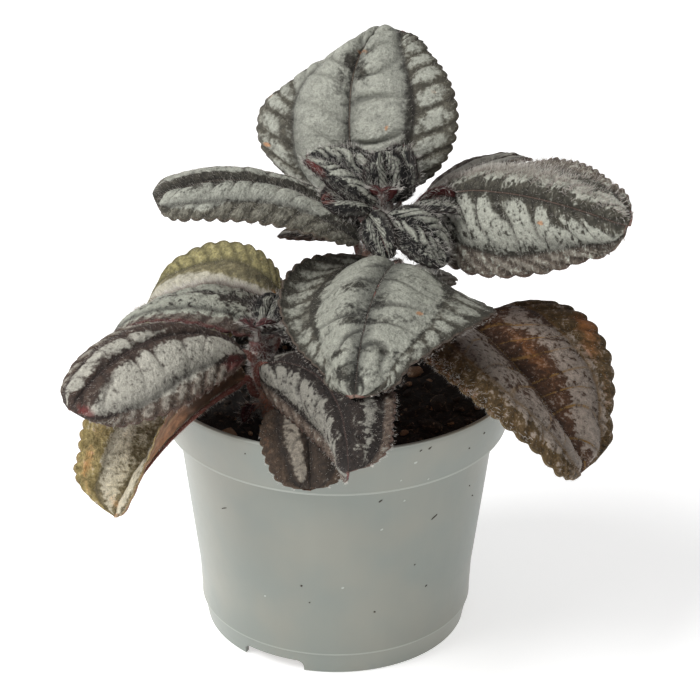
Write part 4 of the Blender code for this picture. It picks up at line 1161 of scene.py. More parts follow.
def hair_template(bent):
    """One hair as a three-sided spike of unit height, in one piece or with a joint half-way."""
    bm = bmesh.new()
    bmesh.ops.create_cone(bm, cap_ends=True, segments=3, radius1=1.0, radius2=0.0, depth=1.0)
    move_all(bm, (0, 0, 0.5))
    if bent:
        bmesh.ops.bisect_plane(
            bm, geom=bm.verts[:] + bm.edges[:] + bm.faces[:], plane_co=(0, 0, 0.5), plane_no=(0, 0, 1)
        )
    bmesh.ops.triangulate(bm, faces=bm.faces)
    points = np.array([v.co[:] for v in bm.verts])
    faces = np.array([[v.index for v in f.verts] for f in bm.faces])
    bm.free()
    return points, faces


def hair_mesh(name, roots, directions, lengths, radius, rng, bend=0.0):
    """Hairs standing on their roots, as one mesh."""
    template, faces = hair_template(bend > 0)
    count = len(roots)
    directions = unit(directions)
    helper = unit(rng.normal(size=(count, 3)))
    first = unit(np.cross(directions, helper))
    second = np.cross(directions, first)
    x, y, z = template.T
    points = roots[:, None, :] + z[None, :, None] * (directions * lengths[:, None])[:, None, :]
    points = points + radius * (x[None, :, None] * first[:, None, :] + y[None, :, None] * second[:, None, :])
    if bend:
        sag = first * (lengths * bend)[:, None]
        points = points + (z**2)[None, :, None] * sag[:, None, :]
    all_faces = faces[None] + (np.arange(count) * len(template))[:, None, None]
    mesh = bpy.data.meshes.new(name)
    mesh.from_pydata(points.reshape(-1, 3), [], all_faces.reshape(-1, 3))
    set_attribute(mesh, "tip", np.tile(z, count))
    return mesh


def leaf_hairs(name, leaf, look, sheet, rng):
    """Short hairs over a blade's upper face, leaning to its tip and margin."""
    places, normals, at = scatter(sheet, look["fuzz"], rng)
    s = np.clip(at("along"), 0, 1)
    t = at("across")
    _, along, side, _ = midrib(leaf, s)
    spread = rng.normal(scale=FUZZ_SPREAD, size=(len(places), 3))
    lean = along * FUZZ_TO_TIP + side * np.sign(t)[:, None] * FUZZ_TO_MARGIN
    lengths = look["hair"] * rng.uniform(*FUZZ_LENGTHS, len(places))
    roots = places - normals * ROOT_DEPTH
    return hair_mesh(name, roots, normals + lean + spread, lengths, look["hair_radius"], rng)


def tuft_hairs(name, leaf, look, sheet, rng):
    """Longer hairs that stand in patches, on the crest of a fold or along a margin."""
    meshes = []
    for along, across, reach_along, reach_across, length, per_square_cm in look["tufts"]:
        places, normals, at = scatter(sheet, per_square_cm, rng)
        s = np.clip(at("along"), 0, 1)
        distance = ((s - along) / reach_along) ** 2 + ((at("across") - across) / reach_across) ** 2
        kept = rng.random(len(s)) < np.exp(-distance)
        _, direction, _, _ = midrib(leaf, s[kept])
        spread = rng.normal(scale=HAIR_SPREAD, size=direction.shape)
        lengths = length * rng.uniform(*TUFT_LENGTHS, len(direction))
        toward = normals[kept] + direction * TUFT_TO_TIP + spread
        roots = places[kept] - normals[kept] * ROOT_DEPTH
        meshes.append(hair_mesh(name, roots, toward, lengths, TUFT_RADIUS, rng, TUFT_BEND))
    return meshes


def margin_hairs(name, leaf, look, rng):
    """Hairs that stand out from the leaf's two margins."""
    meshes = []
    for sign in (1.0, -1.0):
        shares, phase = tooth_phase(leaf, look, sign)
        count = int(phase[-1] * look["pitch"] * MARGIN_HAIRS_PER_MM)
        s = np.clip(np.interp(rng.random(count) * phase[-1], phase, shares), *MARGIN_ENDS)
        t = np.full(count, sign)
        edge = toothed(leaf, vein_fields(leaf, look, s, t), t)
        _, along, _, _ = midrib(leaf, s)
        inside = blade_points(leaf, s, edge * JUST_INSIDE)
        roots = blade_points(leaf, s, edge)
        outward = unit(roots - inside)
        directions = outward + along * MARGIN_TO_TIP + rng.normal(scale=HAIR_SPREAD, size=(count, 3))
        lengths = look["hair"] * rng.uniform(*MARGIN_LENGTHS, count)
        roots = roots - outward * MARGIN_ROOT_DEPTH
        meshes.append(hair_mesh(name, roots, directions, lengths, look["hair_radius"], rng))
    return joined(name, meshes)


def skin_hairs(name, skin, per_square_cm, length, rng):
    """Hairs standing straight out of a stem or stalk."""
    places, normals, _ = scatter(skin, per_square_cm, rng)
    spread = rng.normal(scale=HAIR_SPREAD, size=(len(places), 3))
    lengths = length * rng.uniform(*SKIN_LENGTHS, len(places))
    roots = places - normals * ROOT_DEPTH
    return hair_mesh(name, roots, normals + spread, lengths, SKIN_HAIR_RADIUS, rng, SKIN_HAIR_BEND)


# Materials


class Finish:
    """A material's node tree, with short calls for the nodes that the finishes use."""

    def __init__(self, name, roughness, **sockets):
        self.material = bpy.data.materials.new(name)
        self.material.use_nodes = True
        self.tree = self.material.node_tree
        self.shader = self.tree.nodes["Principled BSDF"]
        self.shader.inputs["Roughness"].default_value = roughness
        for key, value in sockets.items():
            self.shader.inputs[key.replace("_", " ")].default_value = value

    def node(self, kind, **values):
        node = self.tree.nodes.new("ShaderNode" + kind)
        for key, value in values.items():
            setattr(node, key, value)
        return node

    def put(self, socket, value):
        if isinstance(value, bpy.types.NodeSocket):
            self.tree.links.new(value, socket)
        elif value is not None:
            socket.default_value = value

    def math(self, operation, a, b=None):
        node = self.node("Math", operation=operation)
        for socket, value in zip(node.inputs, (a, b)):
            self.put(socket, value)
        return node.outputs[0]

    def add(self, a, b):
        return self.math("ADD", a, b)

    def minus(self, a, b):
        return self.math("SUBTRACT", a, b)

    def times(self, a, b):
        return self.math("MULTIPLY", a, b)

    def larger(self, a, b):
        return self.math("MAXIMUM", a, b)

    def size(self, value):
        return self.math("ABSOLUTE", value)

    def attribute(self, name):
        return self.node("Attribute", attribute_name=name).outputs["Fac"]

    def step(self, value, low, high):
        """Rises smoothly from 0 to 1 as the value goes from low to high."""
        node = self.node("MapRange", interpolation_type="SMOOTHSTEP")
        self.put(node.inputs["Value"], value)
        self.put(node.inputs["From Min"], low)
        self.put(node.inputs["From Max"], high)
        return node.outputs["Result"]

    def fall(self, value, low, high):
        """Falls smoothly from 1 to 0 as the value goes from low to high."""
        return self.minus(1.0, self.step(value, low, high))

    def place(self, stretch=(1, 1, 1)):
        """Object coordinates in millimetres."""
        coordinates = self.node("TexCoord").outputs["Object"]
        mapping = self.node("Mapping")
        self.put(mapping.inputs["Vector"], coordinates)
        mapping.inputs["Scale"].default_value = [k / MM for k in stretch]
        return mapping.outputs["Vector"]

    def noise(self, size, detail, roughness=0.55, place=None):
        """Noise from 0 to 1 whose features are about size millimetres across."""
        node = self.node("TexNoise")
        self.put(node.inputs["Vector"], place or self.place())
        node.inputs["Scale"].default_value = 1 / size
        node.inputs["Detail"].default_value = detail
        node.inputs["Roughness"].default_value = roughness
        return node.outputs["Fac"]

    def fibres(self, stretch):
        """A leaf's own flat coordinates in millimetres, across and along its fibres."""
        node = self.node("CombineXYZ")
        for socket, name, scale in zip(node.inputs, ("fibre_across", "fibre_along"), stretch):
            self.put(socket, self.times(self.attribute(name), scale))
        return node.outputs["Vector"]

    def around_zero(self, size, place=None):
        """Noise from -0.5 to 0.5."""
        return self.add(self.noise(size, 3.0, place=place), -0.5)

    def specks(self, spacing, size, share):
        """Round specks: a share of the cells, spacing apart, holds one of about size across."""
        node = self.node("TexVoronoi")
        self.put(node.inputs["Vector"], self.place())
        node.inputs["Scale"].default_value = 1 / spacing
        picked = self.step(self.split(node.outputs["Color"]), 1 - share, 1 - share + 0.01)
        near = self.fall(node.outputs["Distance"], size / spacing / 2 * 0.6, size / spacing / 2)
        return self.times(picked, near)

    def split(self, colour):
        node = self.node("SeparateColor")
        self.put(node.inputs["Color"], colour)
        return node.outputs["Red"]

    def mix(self, factor, a, b):
        """Colour a turned into colour b by the factor."""
        node = self.node("Mix", data_type="RGBA")
        self.put(node.inputs["Factor"], factor)
        for socket, value in ((node.inputs[6], a), (node.inputs[7], b)):
            self.put(socket, (*value, 1.0) if isinstance(value, tuple) else value)
        return node.outputs[2]

    def mix_value(self, factor, a, b):
        """Value a turned into value b by the factor."""
        return self.add(a, self.times(factor, self.minus(b, a)))

    def constant(self, colour):
        node = self.node("RGB")
        node.outputs["Color"].default_value = (*colour, 1.0)
        return node.outputs["Color"]

    def shaded(self, colour, factor):
        """The colour made darker or lighter by a factor around 1."""
        node = self.node("VectorMath", operation="SCALE")
        self.put(node.inputs["Vector"], colour)
        self.put(node.inputs["Scale"], factor)
        return node.outputs["Vector"]

    def colour(self, colour):
        self.put(self.shader.inputs["Base Color"], colour)

    def roughness(self, value):
        self.put(self.shader.inputs["Roughness"], value)

    def bump(self, height, depth, strength):
        """Bump of the given depth in millimetres."""
        node = self.node("Bump")
        node.inputs["Strength"].default_value = strength
        node.inputs["Distance"].default_value = depth * MM
        self.put(node.inputs["Height"], height)
        self.put(self.shader.inputs["Normal"], node.outputs["Normal"])


def by_side(finish, across, pair):
    """The left half's value where across is above 0, and the right half's below."""
    left, right = pair
    return finish.add(right, finish.times(finish.step(across, -0.01, 0.01), left - right))


def leaf_top(name, look):
    """Upper face: dark ground, silver bands and patches, sunk veins, margin zone and line, with painted shade
    in the veins' creases and the relief's low places.
    """
    tone = TONES[look["tone"]]
    f = Finish(name, roughness=0.5, Specular_IOR_Level=0.35)
    across = f.attribute("across")
    inner = f.attribute("inner")
    outer = f.attribute("outer")
    half = f.attribute("half_width")
    raised = f.attribute("raised")
    width = f.size(across)
    fibres = f.fibres((0.35, 1.0))
    coarse = f.around_zero(3.0)
    middling = f.around_zero(1.3)
    streaks = f.around_zero(1.0, fibres)
    along_fibres = f.times(streaks, look["streaks"])
    bristles = f.noise(0.32, 2.0, 0.7, place=fibres)
    fine = f.noise(0.45, 3.0, 0.7)

    is_outer = f.step(inner, 0.98, 1.02)
    to_inner = f.math("PINGPONG", f.attribute("inner_cell"), 0.5)
    to_outer = f.math("PINGPONG", f.attribute("outer_cell"), 0.5)

    ragged = f.add(coarse, f.add(f.times(middling, 1.1), along_fibres))
    wedge = f.minus(f.times(f.minus(0.72, inner), 0.42), to_inner)
    wedge = f.step(f.add(wedge, f.times(ragged, 0.4)), -0.08, 0.16)
    painted = f.attribute("silver")
    band = f.minus(f.add(painted, f.times(ragged, look["ragged"])), f.times(wedge, look["wedge"]))
    band = f.step(band, 0.15, 0.9)

    patch_across = f.math("POWER", f.times(f.add(outer, -0.42), 1.9), 2.0)
    patch_along = f.math("POWER", f.times(f.add(to_outer, -0.5), look["patch_gap"]), 2.0)
    patch = f.minus(f.add(1.0, f.times(ragged, 1.7)), f.add(patch_across, patch_along))
    patch = f.times(f.times(f.step(patch, 0.1, 1.05), by_side(f, across, look["patches"])), is_outer)
    patch = f.times(patch, f.step(painted, -0.5, -0.1))
    silver = f.larger(band, patch)

    ground = f.mix(is_outer, tuple(look["deep"] * c for c in tone["ground"]), tone["outer"])
    uneven = f.step(f.add(along_fibres, f.add(middling, coarse)), -0.3, 0.4)
    ground = f.mix(uneven, f.shaded(ground, 0.55), f.shaded(ground, 1.4))
    ground = f.shaded(ground, f.add(1.0, f.times(f.math("MINIMUM", painted, 0.0), 0.45)))
    cloud = f.add(f.add(coarse, f.times(streaks, 0.5 * look["streaks"])), middling)
    bright = f.shaded(f.constant(tone["silver"]), f.times(f.add(0.97, f.times(cloud, 0.8)), look["bright"]))
    colour = f.mix(f.times(silver, look["cover"]), ground, bright)

    # Veins: their own dark colour, deepened along the side vein's fold and in the cross veins' creases as
    # painted shade
    from_midline = f.times(width, half)
    from_side_vein = f.times(f.times(f.size(f.add(inner, -1.0)), look["side_vein"]), half)
    side = f.times(f.fall(from_side_vein, 0.0, 1.4), 0.55 * look["side_fold"])
    veins = f.larger(f.fall(from_midline, 0.15, 0.6), side)
    outer_cross = f.times(f.fall(to_outer, 0.02, 0.14), 0.9)
    cross = f.mix_value(is_outer, f.fall(to_inner, 0.01, look["furrow"]), outer_cross)
    cross = f.times(f.times(cross, f.step(f.add(coarse, middling), -0.25, 0.15)), look["cross"])
    cross = f.times(cross, f.add(1.0, f.times(f.step(inner, 0.3, 0.9), -0.6)))
    veins = f.larger(veins, f.times(cross, 0.85))
    colour = f.mix(f.times(veins, 0.85), colour, tone["vein"])
    colour = f.mix(f.times(f.fall(from_midline, 0.05, 0.22), look["midline"]), colour, tone["line"])

    from_edge = f.times(f.minus(1.0, width), half)
    colour = f.mix(f.times(f.fall(f.add(from_edge, middling), 0.1, 0.9), 0.5), colour, tone["line"])
    warm = f.step(f.add(f.attribute("warm"), f.times(f.add(middling, coarse), 0.6)), 0.25, 0.75)
    colour = f.mix(f.times(warm, 0.85), colour, tone["flush"])
    grain = f.times(f.add(0.35, f.times(fine, 1.3)), f.add(0.75, f.times(bristles, 0.5)))
    dots = f.times(f.specks(0.9, 0.45, 0.4), silver)
    grain = f.times(grain, f.add(1.0, f.times(dots, 0.25)))
    # Painted shade: the colour darkens towards the low places of the relief, the creases between the puffs
    lit = f.add(1 - look["shade"], f.times(f.step(raised, 0.0, 1.0), look["shade"] + 0.15))
    f.colour(f.shaded(colour, f.times(grain, lit)))
    f.roughness(f.add(0.66, f.times(silver, -0.16)))
    f.bump(f.add(f.times(fine, 0.6), f.add(along_fibres, f.times(middling, 1.6))), 0.6, 1.0)
    return f.material


def leaf_under(name, look):
    """Underside: reddish or tan, with paler veins, and darker where silver is below 0."""
    tone = TONES[look["tone"]]
    f = Finish(name, roughness=0.6)
    width = f.size(f.attribute("across"))
    half = f.attribute("half_width")
    from_midline = f.times(width, half)
    from_side_vein = f.times(f.size(f.add(f.attribute("inner"), -1.0)), half)
    veins = f.larger(f.fall(from_midline, 0.3, 1.0), f.fall(from_side_vein, 0.3, 1.4))
    mottle = f.step(f.noise(2.4, 4.0), 0.35, 0.65)
    colour = f.mix(mottle, tuple(0.55 * c for c in tone["under"]), tone["under"])
    colour = f.mix(f.times(veins, 0.6), colour, tone["line"])
    dark = f.larger(f.math("MINIMUM", f.attribute("silver"), 0.0), -1.0)
    colour = f.shaded(colour, f.add(1.0, f.times(dark, 0.8)))
    f.colour(f.shaded(colour, f.add(0.75, f.times(f.noise(0.4, 2.0), 0.5))))
    f.bump(f.noise(0.5, 3.0), 0.2, 0.7)
    return f.material


def stem_skin(name, colour, crimson_from=1000.0):
    """Stems and stalks: fleshy, streaked along, crimson where they are young."""
    f = Finish(name, roughness=0.55, Subsurface_Weight=0.15)
    f.shader.inputs["Subsurface Radius"].default_value = (0.004, 0.0015, 0.001)
    streaks = f.noise(0.7, 3.0, place=f.place((1, 1, 0.25)))
    blotches = f.noise(3.0, 3.0)
    tint = f.mix(f.step(blotches, 0.35, 0.7), colour, tuple(0.6 * c for c in colour))
    upright = f.node("SeparateXYZ")
    f.put(upright.inputs[0], f.place())
    height = f.add(upright.outputs["Z"], -AXIS.z / MM)
    is_young = f.step(f.add(height, f.times(blotches, 8.0)), crimson_from, crimson_from + 8.0)
    tint = f.mix(is_young, tint, CRIMSON_SKIN)
    f.colour(f.shaded(tint, f.add(0.6, f.times(streaks, 0.8))))
    f.bump(streaks, 0.2, 0.8)
    return f.material


def hair_finish(name, root):
    f = Finish(name, roughness=0.5)
    # Darker at the root and paler to the tip; the young leaves' dark roots are painted shade
    f.colour(f.mix(f.step(f.attribute("tip"), 0.0, 0.7), root, HAIR_TIP))
    return f.material


def pot_finish():
    """Satin grey-green moulded plastic with faint flow marks, painted highlights along its edges and a
    darker, browner inside.
    """
    f = Finish("pot_plastic", roughness=0.38, Specular_IOR_Level=0.5, Coat_Weight=0.2, Coat_Roughness=0.3)
    cloud = f.noise(26.0, 2.0)
    flow = f.noise(5.0, 3.0, place=f.place((1, 1, 0.18)))
    colour = f.mix(f.step(cloud, 0.3, 0.7), *PLASTIC)
    colour = f.shaded(colour, f.add(0.97, f.times(flow, 0.06)))
    height = f.attribute("height")
    # Painted highlights: pale lines along the rim, the band's lower edge and the foot line
    for line, reach in EDGE_HIGHLIGHTS:
        from_line = f.size(f.add(height, -line))
        colour = f.mix(f.times(f.fall(from_line, reach * 0.5, reach), 0.5), colour, PLASTIC_HIGHLIGHT)
    # The whole inside is made darker and browner
    browner = f.step(f.add(f.attribute("inside"), f.times(f.noise(1.5, 4.0), 0.3)), 0.75, 0.95)
    colour = f.mix(f.times(browner, 0.85), colour, INSIDE_BROWN)
    f.colour(colour)
    f.roughness(f.add(0.36, f.times(f.noise(3.0, 4.0), 0.12)))
    f.bump(f.add(f.noise(0.8, 3.0), f.times(flow, 0.6)), 0.05, 0.5)
    return f.material


def soil_finish(name, dark, light):
    f = Finish(name, roughness=0.95)
    bits = f.noise(1.6, 5.0, 0.7)
    colour = f.mix(f.step(bits, 0.52, 0.75), dark, light)
    f.colour(f.shaded(colour, f.add(0.5, f.noise(0.4, 3.0))))
    f.bump(f.add(bits, f.noise(0.5, 3.0)), 0.6, 1.0)
    return f.material


# Pot


def arc(centre, radius, start, end, steps):
    """Points of an arc in the profile's plane, angles in degrees from outward."""
    points = []
    for step in range(steps + 1):
        angle = math.radians(start + (end - start) * step / steps)
        points.append((centre[0] + radius * math.cos(angle), centre[1] + radius * math.sin(angle)))
    return points


def pot_profile():
    """Inside of the floor, up the inner wall, over the rim, down the outside, under the floor."""
    foot_inner = FOOT_RADIUS - FOOT_RING_WIDTH
    lip = (RIM_RADIUS - LIP_RADIUS - 0.02, POT_HEIGHT - LIP_RADIUS)
    inner_lip = (RIM_RADIUS - WALL + LIP_RADIUS - 0.1, POT_HEIGHT - LIP_RADIUS)
    inside = [
        (0, FLOOR_TOP_Z),
        (FOOT_LINE_RADIUS - WALL - FLOOR_EDGE, FLOOR_TOP_Z),
        (FOOT_LINE_RADIUS - WALL, FLOOR_TOP_Z + FLOOR_EDGE),
        (WALL_LOW_RADIUS - WALL, WALL_LOW_Z),
        (WALL_TOP_RADIUS - WALL, BAND_BOTTOM_Z - WALL),
        (BAND_BOTTOM_RADIUS - WALL, BAND_BOTTOM_Z + WALL),
    ]
    rim = arc(inner_lip, LIP_RADIUS, 175, 95, EDGE_STEPS) + arc(lip, LIP_RADIUS, 85, 0, EDGE_STEPS)
    band = [
        (BAND_TOP_RADIUS, BAND_TOP_Z),
        (BAND_BOTTOM_RADIUS + 0.45, BAND_BOTTOM_Z + 2.2),
        (BAND_BOTTOM_RADIUS + BEAD + 0.1, BAND_BOTTOM_Z + 1.0),
    ]
    edge_middle = (BAND_BOTTOM_RADIUS - 0.2, BAND_BOTTOM_Z + BAND_EDGE_RADIUS)
    band_edge = arc(edge_middle, BAND_EDGE_RADIUS, 20, -90, EDGE_STEPS)
    wall = [
        (WALL_TOP_RADIUS + 0.6, BAND_BOTTOM_Z - 0.05),
        (WALL_TOP_RADIUS, WALL_TOP_Z),
        (WALL_LOW_RADIUS, WALL_LOW_Z),
        (FOOT_LINE_RADIUS + 0.15, FOOT_LINE_Z + 1.2),
        (FOOT_LINE_RADIUS + BEAD, FOOT_LINE_Z + 0.5),
        (FOOT_LINE_RADIUS + BEAD, FOOT_LINE_Z + 0.15),
        (FOOT_LINE_RADIUS - 0.25, FOOT_LINE_Z - 0.25),
    ]
    foot = arc((FOOT_RADIUS - 0.35, FOOT_EDGE_RADIUS), FOOT_EDGE_RADIUS, 10, -90, FOOT_STEPS)
    under = arc((foot_inner + 0.35, FOOT_EDGE_RADIUS), FOOT_EDGE_RADIUS, 270, 180, FOOT_STEPS) + [
        (foot_inner + 0.2, FLOOR_UNDERSIDE_Z - 0.6),
        (foot_inner - 0.4, FLOOR_UNDERSIDE_Z),
        (0, FLOOR_UNDERSIDE_Z),
    ]
    return inside + rim + band + band_edge + wall + foot + under


def spun(name, profile, steps):
    """A profile of (radius, height) spun about the pot's axis into a closed solid."""
    bm = bmesh.new()
    verts = [bm.verts.new((r, 0.0, z)) for r, z in profile]
    edges = [bm.edges.new(pair) for pair in zip(verts, verts[1:])]
    bmesh.ops.spin(
        bm, geom=verts + edges, cent=(0, 0, 0), axis=(0, 0, 1), angle=2 * math.pi, steps=steps, use_merge=True
    )
    bmesh.ops.remove_doubles(bm, verts=bm.verts, dist=WELD)
    bmesh.ops.recalc_face_normals(bm, faces=bm.faces)
    return collect(bm, name)


def notch_cutter(index):
    bm = bmesh.new()
    bmesh.ops.create_cube(bm, size=1.0)
    stretch_all(bm, (CUTTER_DEPTH, NOTCH_WIDTH, 2 * NOTCH_HEIGHT))
    long_edges = [e for e in bm.edges if abs(e.verts[0].co.x - e.verts[1].co.x) > 1]
    bmesh.ops.bevel(
        bm, geom=long_edges, offset=NOTCH_ROUNDING, segments=6, profile=0.5, affect="EDGES", material=-1
    )
    move_all(bm, (FOOT_RADIUS, 0, 0))
    turn_all(bm, math.radians(NOTCH_HEADING + index * 360 / NOTCH_COUNT))
    return collect(bm, "notch_%d" % index)


def drain_cutter(index):
    bm = bmesh.new()
    bmesh.ops.create_cone(
        bm, cap_ends=True, segments=DRAIN_SEGMENTS,
        radius1=DRAIN_RADIUS, radius2=DRAIN_RADIUS, depth=CUTTER_DEPTH,
    )
    heading = math.radians(DRAIN_HEADING + index * 360 / DRAIN_COUNT)
    x, y = DRAIN_CIRCLE_RADIUS * math.cos(heading), DRAIN_CIRCLE_RADIUS * math.sin(heading)
    move_all(bm, (x, y, FLOOR_TOP_Z))
    return collect(bm, "drain_%d" % index)


def make_pot():
    obj = temporary(spun("pot_body", pot_profile(), TURN_STEPS))
    cutters = [temporary(notch_cutter(i)) for i in range(NOTCH_COUNT)]
    cutters += [temporary(drain_cutter(i)) for i in range(DRAIN_COUNT)]
    for cutter in cutters:
        cut = obj.modifiers.new("cut", "BOOLEAN")
        cut.operation = "DIFFERENCE"
        cut.solver = "EXACT"
        cut.object = cutter
    mesh = evaluated_mesh(obj)
    for cutter in cutters:
        bpy.data.objects.remove(cutter, do_unlink=True)
    mesh.shade_smooth()
    mesh.set_sharp_from_angle(angle=math.radians(SHARP_ANGLE))
    x, y, z = read_points(mesh).T
    set_attribute(mesh, "height", z)
    set_attribute(mesh, "inside", np.hypot(x, y) < np.vectorize(pot_outer_radius)(z) - INSIDE_DEPTH)
    piece("pot_body", mesh, [pot_finish()], "pot")


def pot_outer_radius(z):
    heights = [0, FOOT_LINE_Z, WALL_LOW_Z, WALL_TOP_Z, BAND_BOTTOM_Z + 0.5, BAND_TOP_Z, POT_HEIGHT]
    radii = [FOOT_RADIUS, FOOT_LINE_RADIUS, WALL_LOW_RADIUS, WALL_TOP_RADIUS, BAND_BOTTOM_RADIUS]
    return float(np.interp(z, heights, radii + [BAND_TOP_RADIUS, RIM_RADIUS - LIP_RADIUS]))


def make_spots():
    """Dirt and dried drops stuck to the pot's outside."""
    meshes = []
    slots = []
    for slot, spots, thickness in ((0, DIRT, DIRT_THICKNESS), (1, DROPS, DROP_THICKNESS)):
        for index, (heading, height, length, width) in enumerate(spots):
            bm = uneven_ball(3, 0.5, 1.0, SPOT_UNEVEN, SPOT_GRAIN, (index, slot, 0))
            stretch_all(bm, (thickness * 2, 0.8 * length, 0.7 * width))
            turn_all(bm, SPOT_TILT_RADIANS, "X")
            move_all(bm, (pot_outer_radius(height) + thickness / 3, 0, height))
            turn_all(bm, math.radians(heading))
            meshes.append(collect(bm, "spot"))
            slots.append(slot)
    mesh = joined("pot_spots", meshes, slots)
    mesh.shade_smooth()
    dirt = soil_finish("pot_dirt", *DIRT_COLOURS)
    drop = Finish("dried_drop", roughness=0.25, Base_Color=(*DRIED_WATER, 1.0)).material
    piece("pot_spots", mesh, [dirt, drop])


# Soil


def pot_inner_radius(z):
    heights = [FLOOR_TOP_Z, WALL_LOW_Z, BAND_BOTTOM_Z - WALL, BAND_BOTTOM_Z + WALL, POT_HEIGHT]
    radii = [FOOT_LINE_RADIUS, WALL_LOW_RADIUS, WALL_TOP_RADIUS, BAND_BOTTOM_RADIUS, RIM_RADIUS - 0.3]
    return float(np.interp(z, heights, radii)) - WALL


def soil_height(x, y):
    """Uneven surface of the potting soil, with lumps and waves."""
    z = SOIL_Z
    for height, size, seed in SOIL_LUMPS:
        z += noise.noise((x / size, y / size, seed)) * height
    for height, across, away, phase in SOIL_WAVES:
        z += height * math.sin(2 * math.pi * x / across + phase) * math.cos(2 * math.pi * y / away - phase)
    return z


def make_soil():
    rim_radius = pot_inner_radius(SOIL_Z) - SOIL_GAP
    top = [(rim_radius * i / SOIL_RINGS, SOIL_Z) for i in range(SOIL_RINGS + 1)]
    inset = WALL + SOIL_GAP
    sides = [
        (BAND_BOTTOM_RADIUS - inset, BAND_BOTTOM_Z + WALL + STEP_GAP),
        (WALL_TOP_RADIUS - inset, BAND_BOTTOM_Z - WALL + STEP_GAP),
        (WALL_LOW_RADIUS - inset, WALL_LOW_Z),
        (FOOT_LINE_RADIUS - inset, FLOOR_TOP_Z + SOIL_GAP),
        (0, FLOOR_TOP_Z + SOIL_GAP),
    ]
    mesh = spun("soil_bed", top + sides, TURN_STEPS)
    for vert in mesh.vertices:
        x, y, z = vert.co
        if z > SOIL_Z - 0.01:
            outmost, inmost = SOIL_LEVEL_EDGE
            edge = smoothstep(rim_radius - outmost, rim_radius - inmost, math.hypot(x, y))
            vert.co.z = SOIL_Z + (soil_height(x, y) - SOIL_Z) * float(edge)
    mesh.shade_smooth()
    piece("soil_bed", mesh, [soil_finish("potting_soil", *EARTH)], "soil")


def make_crumbs():
    """Loose crumbs and bark bits lying on the soil."""
    rng = np.random.default_rng(CRUMB_SEED)
    reach = pot_inner_radius(SOIL_Z) - CRUMB_MARGIN
    meshes = []
    slots = []
    for index in range(CRUMB_COUNT):
        angle = rng.uniform(0, 2 * math.pi)
        distance = reach * math.sqrt(rng.random())
        x, y = distance * math.cos(angle), distance * math.sin(angle)
        size = rng.uniform(*CRUMB_SIZES) * (LARGE_CRUMB if index % LARGE_CRUMB_EVERY == 0 else 1.0)
        bm = uneven_ball(2, size, size, CRUMB_UNEVEN, CRUMB_GRAIN, (index, 0, 0))
        stretch_all(bm, (rng.uniform(0.9, 1.8), rng.uniform(0.7, 1.2), 0.7))
        turn_all(bm, rng.uniform(0, 2 * math.pi))
        move_all(bm, (x, y, soil_height(x, y) + 0.15 * size))
        meshes.append(collect(bm, "crumb"))
        slots.append(1 if index % BARK_EVERY == 0 else 0)
    mesh = joined("soil_crumbs", meshes, slots)
    mesh.shade_smooth()
    finishes = [soil_finish("soil_crumb", *CRUMBS), soil_finish("bark_bit", *BARK)]
    piece("soil_crumbs", mesh, finishes)


# Plant


def make_leaf(name, index):
    """A large leaf with its stalk, in place of its solid, and the hairs on both."""
    leaf = LARGE_LEAVES[name]
    look = dict(PLAIN_LOOK, **LOOKS[name])
    rng = np.random.default_rng(LEAF_SEED + index)
    sheet = leaf_sheet(name, leaf, look)
    points, radii = seated_stalk(leaf)
    stalk = tube(name + "_stalk", points, radii)
    mesh = joined(name + "_blade", [thick_leaf(sheet), stalk], [0, 2])
    skin = [leaf_top(name + "_top", look), leaf_under(name + "_under", look), STALK_SKIN]
    piece(name + "_blade", mesh, skin, name)
    hairs = [
        leaf_hairs(name, leaf, look, sheet, rng),
        margin_hairs(name, leaf, look, rng),
        skin_hairs(name, stalk, *STALK_HAIRS, rng),
    ]
    hairs += tuft_hairs(name, leaf, look, sheet, rng)
    piece(name + "_hairs", joined(name + "_hairs", hairs), [PALE_HAIR])


def make_shoot(name):
    """A stem with the young leaves of its tip, and the hairs on all of them."""
    stem = STEMS[name]
    rng = np.random.default_rng(len(name))
    line = smooth_line(stem["points"], STEM_STEPS_DRAWN)
    skin = tube(name, line, [stem_radius(name, p.z) for p in line], bevel_resolution=5)
    meshes = [skin]
    slots = [0]
    hairs = [skin_hairs(name, skin, *STEM_HAIRS, rng)]
    for index, leaf in enumerate(YOUNG_LEAVES[name]):
        is_crimson = index in CRIMSON_LEAVES[name]
        look = CRIMSON_LOOK if is_crimson else YOUNG_LOOK
        look = dict(look, warm=YOUNG_FLUSH.get((name, index), []))
        sheet = leaf_sheet("%s_young_%d" % (name, index), leaf, look)
        points, radii = young_stalk(name, leaf)
        stalk = tube("stalk", points, radii)
        meshes += [thick_leaf(sheet), stalk]
        slots += [3 if is_crimson else 1, 0]
        hairs += [leaf_hairs(name, leaf, look, sheet, rng), margin_hairs(name, leaf, look, rng)]
        hairs.append(skin_hairs(name, stalk, *YOUNG_STALK_HAIRS, rng))
    materials = [stem_skin(name + "_skin", STEM_COLOUR, stem["crimson_from"])]
    for title, look in (("young", YOUNG_LOOK), ("crimson", CRIMSON_LOOK)):
        materials.append(leaf_top("%s_%s_top" % (name, title), look))
        materials.append(leaf_under("%s_%s_under" % (name, title), look))
    piece(name + "_shoot", joined(name, meshes, slots), materials, name)
    piece(name + "_hairs", joined(name + "_hairs", hairs), [YOUNG_HAIR])


# Studio


def to_frame(point):
    return AXIS + Vector(point) * MM


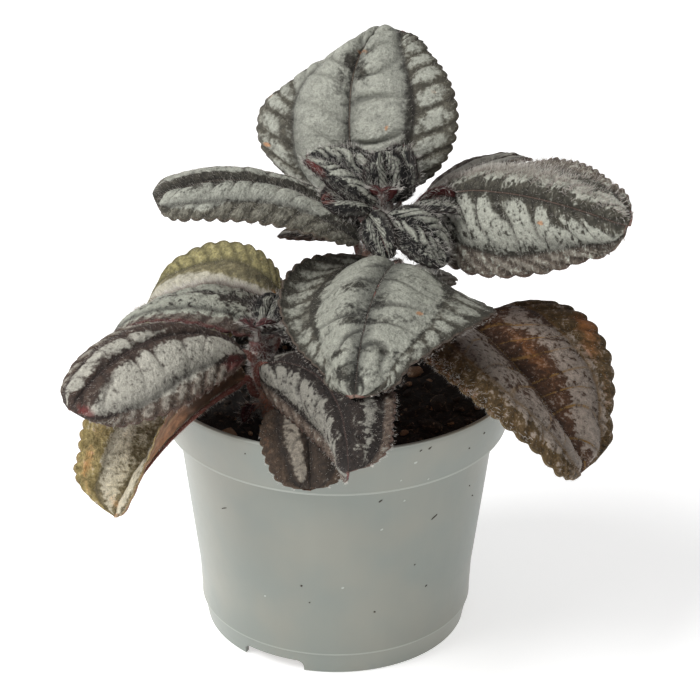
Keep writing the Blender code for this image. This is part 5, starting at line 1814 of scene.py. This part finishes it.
def make_camera():
    data = bpy.data.cameras.new("camera")
    data.lens = LENS
    data.sensor_width = SENSOR
    data.clip_start, data.clip_end = CLIP_METRES
    camera = new_object("camera", data)
    elevation = math.radians(CAMERA_ELEVATION)
    back = Vector((0, -math.cos(elevation), math.sin(elevation)))
    camera.location = to_frame(Vector(LOOK_AT) + back * CAMERA_DISTANCE)
    tilt = (-back).to_track_quat("-Z", "Y").to_matrix()
    roll = Matrix.Rotation(math.radians(CAMERA_ROLL), 3, "Z")
    camera.rotation_euler = (tilt @ roll).to_euler()
    bpy.context.scene.camera = camera


def make_floor():
    bm = bmesh.new()
    bmesh.ops.create_circle(bm, cap_ends=True, segments=64, radius=FLOOR_RADIUS_METRES)
    mesh = collect(bm, "floor")
    mesh.transform(Matrix.Translation((AXIS.x, AXIS.y, AXIS.z - FLOOR_DROP_METRES)))
    obj = new_object("floor", mesh)
    f = Finish("white_floor", roughness=0.9, Specular_IOR_Level=0.1)
    f.shader.inputs["Emission Color"].default_value = (1, 1, 1, 1)
    f.shader.inputs["Emission Strength"].default_value = FLOOR_GLOW
    f.colour(f.mix(f.noise(400.0, 2.0), *FLOOR_WHITES))
    mesh.materials.append(f.material)


def soft_light(name, place, aim, size, watts):
    data = bpy.data.lights.new(name, "AREA")
    data.shape = "DISK"
    data.size = size * MM
    data.energy = watts
    light = new_object(name, data)
    light.location = to_frame(place)
    light.rotation_euler = (to_frame(aim) - light.location).to_track_quat("-Z", "Y").to_euler()


def make_studio():
    world = bpy.data.worlds.new("white_room")
    bpy.context.scene.world = world
    world.use_nodes = True
    background = world.node_tree.nodes["Background"]
    background.inputs["Color"].default_value = (1, 1, 1, 1)
    background.inputs["Strength"].default_value = ROOM_LIGHT
    for name, light in LIGHTS.items():
        soft_light(name, **light)
    bpy.context.scene.view_settings.view_transform = "Standard"


STALK_SKIN = stem_skin("stalk_skin", STALK_COLOUR)
PALE_HAIR = hair_finish("pale_hair", HAIR_ROOT)
YOUNG_HAIR = hair_finish("young_hair", YOUNG_HAIR_ROOT)

make_camera()
make_floor()
make_studio()
make_pot()
make_spots()
make_soil()
make_crumbs()
for stem_name in STEMS:
    make_shoot(stem_name)
for leaf_index, leaf_name in enumerate(LARGE_LEAVES):
    make_leaf(leaf_name, leaf_index)
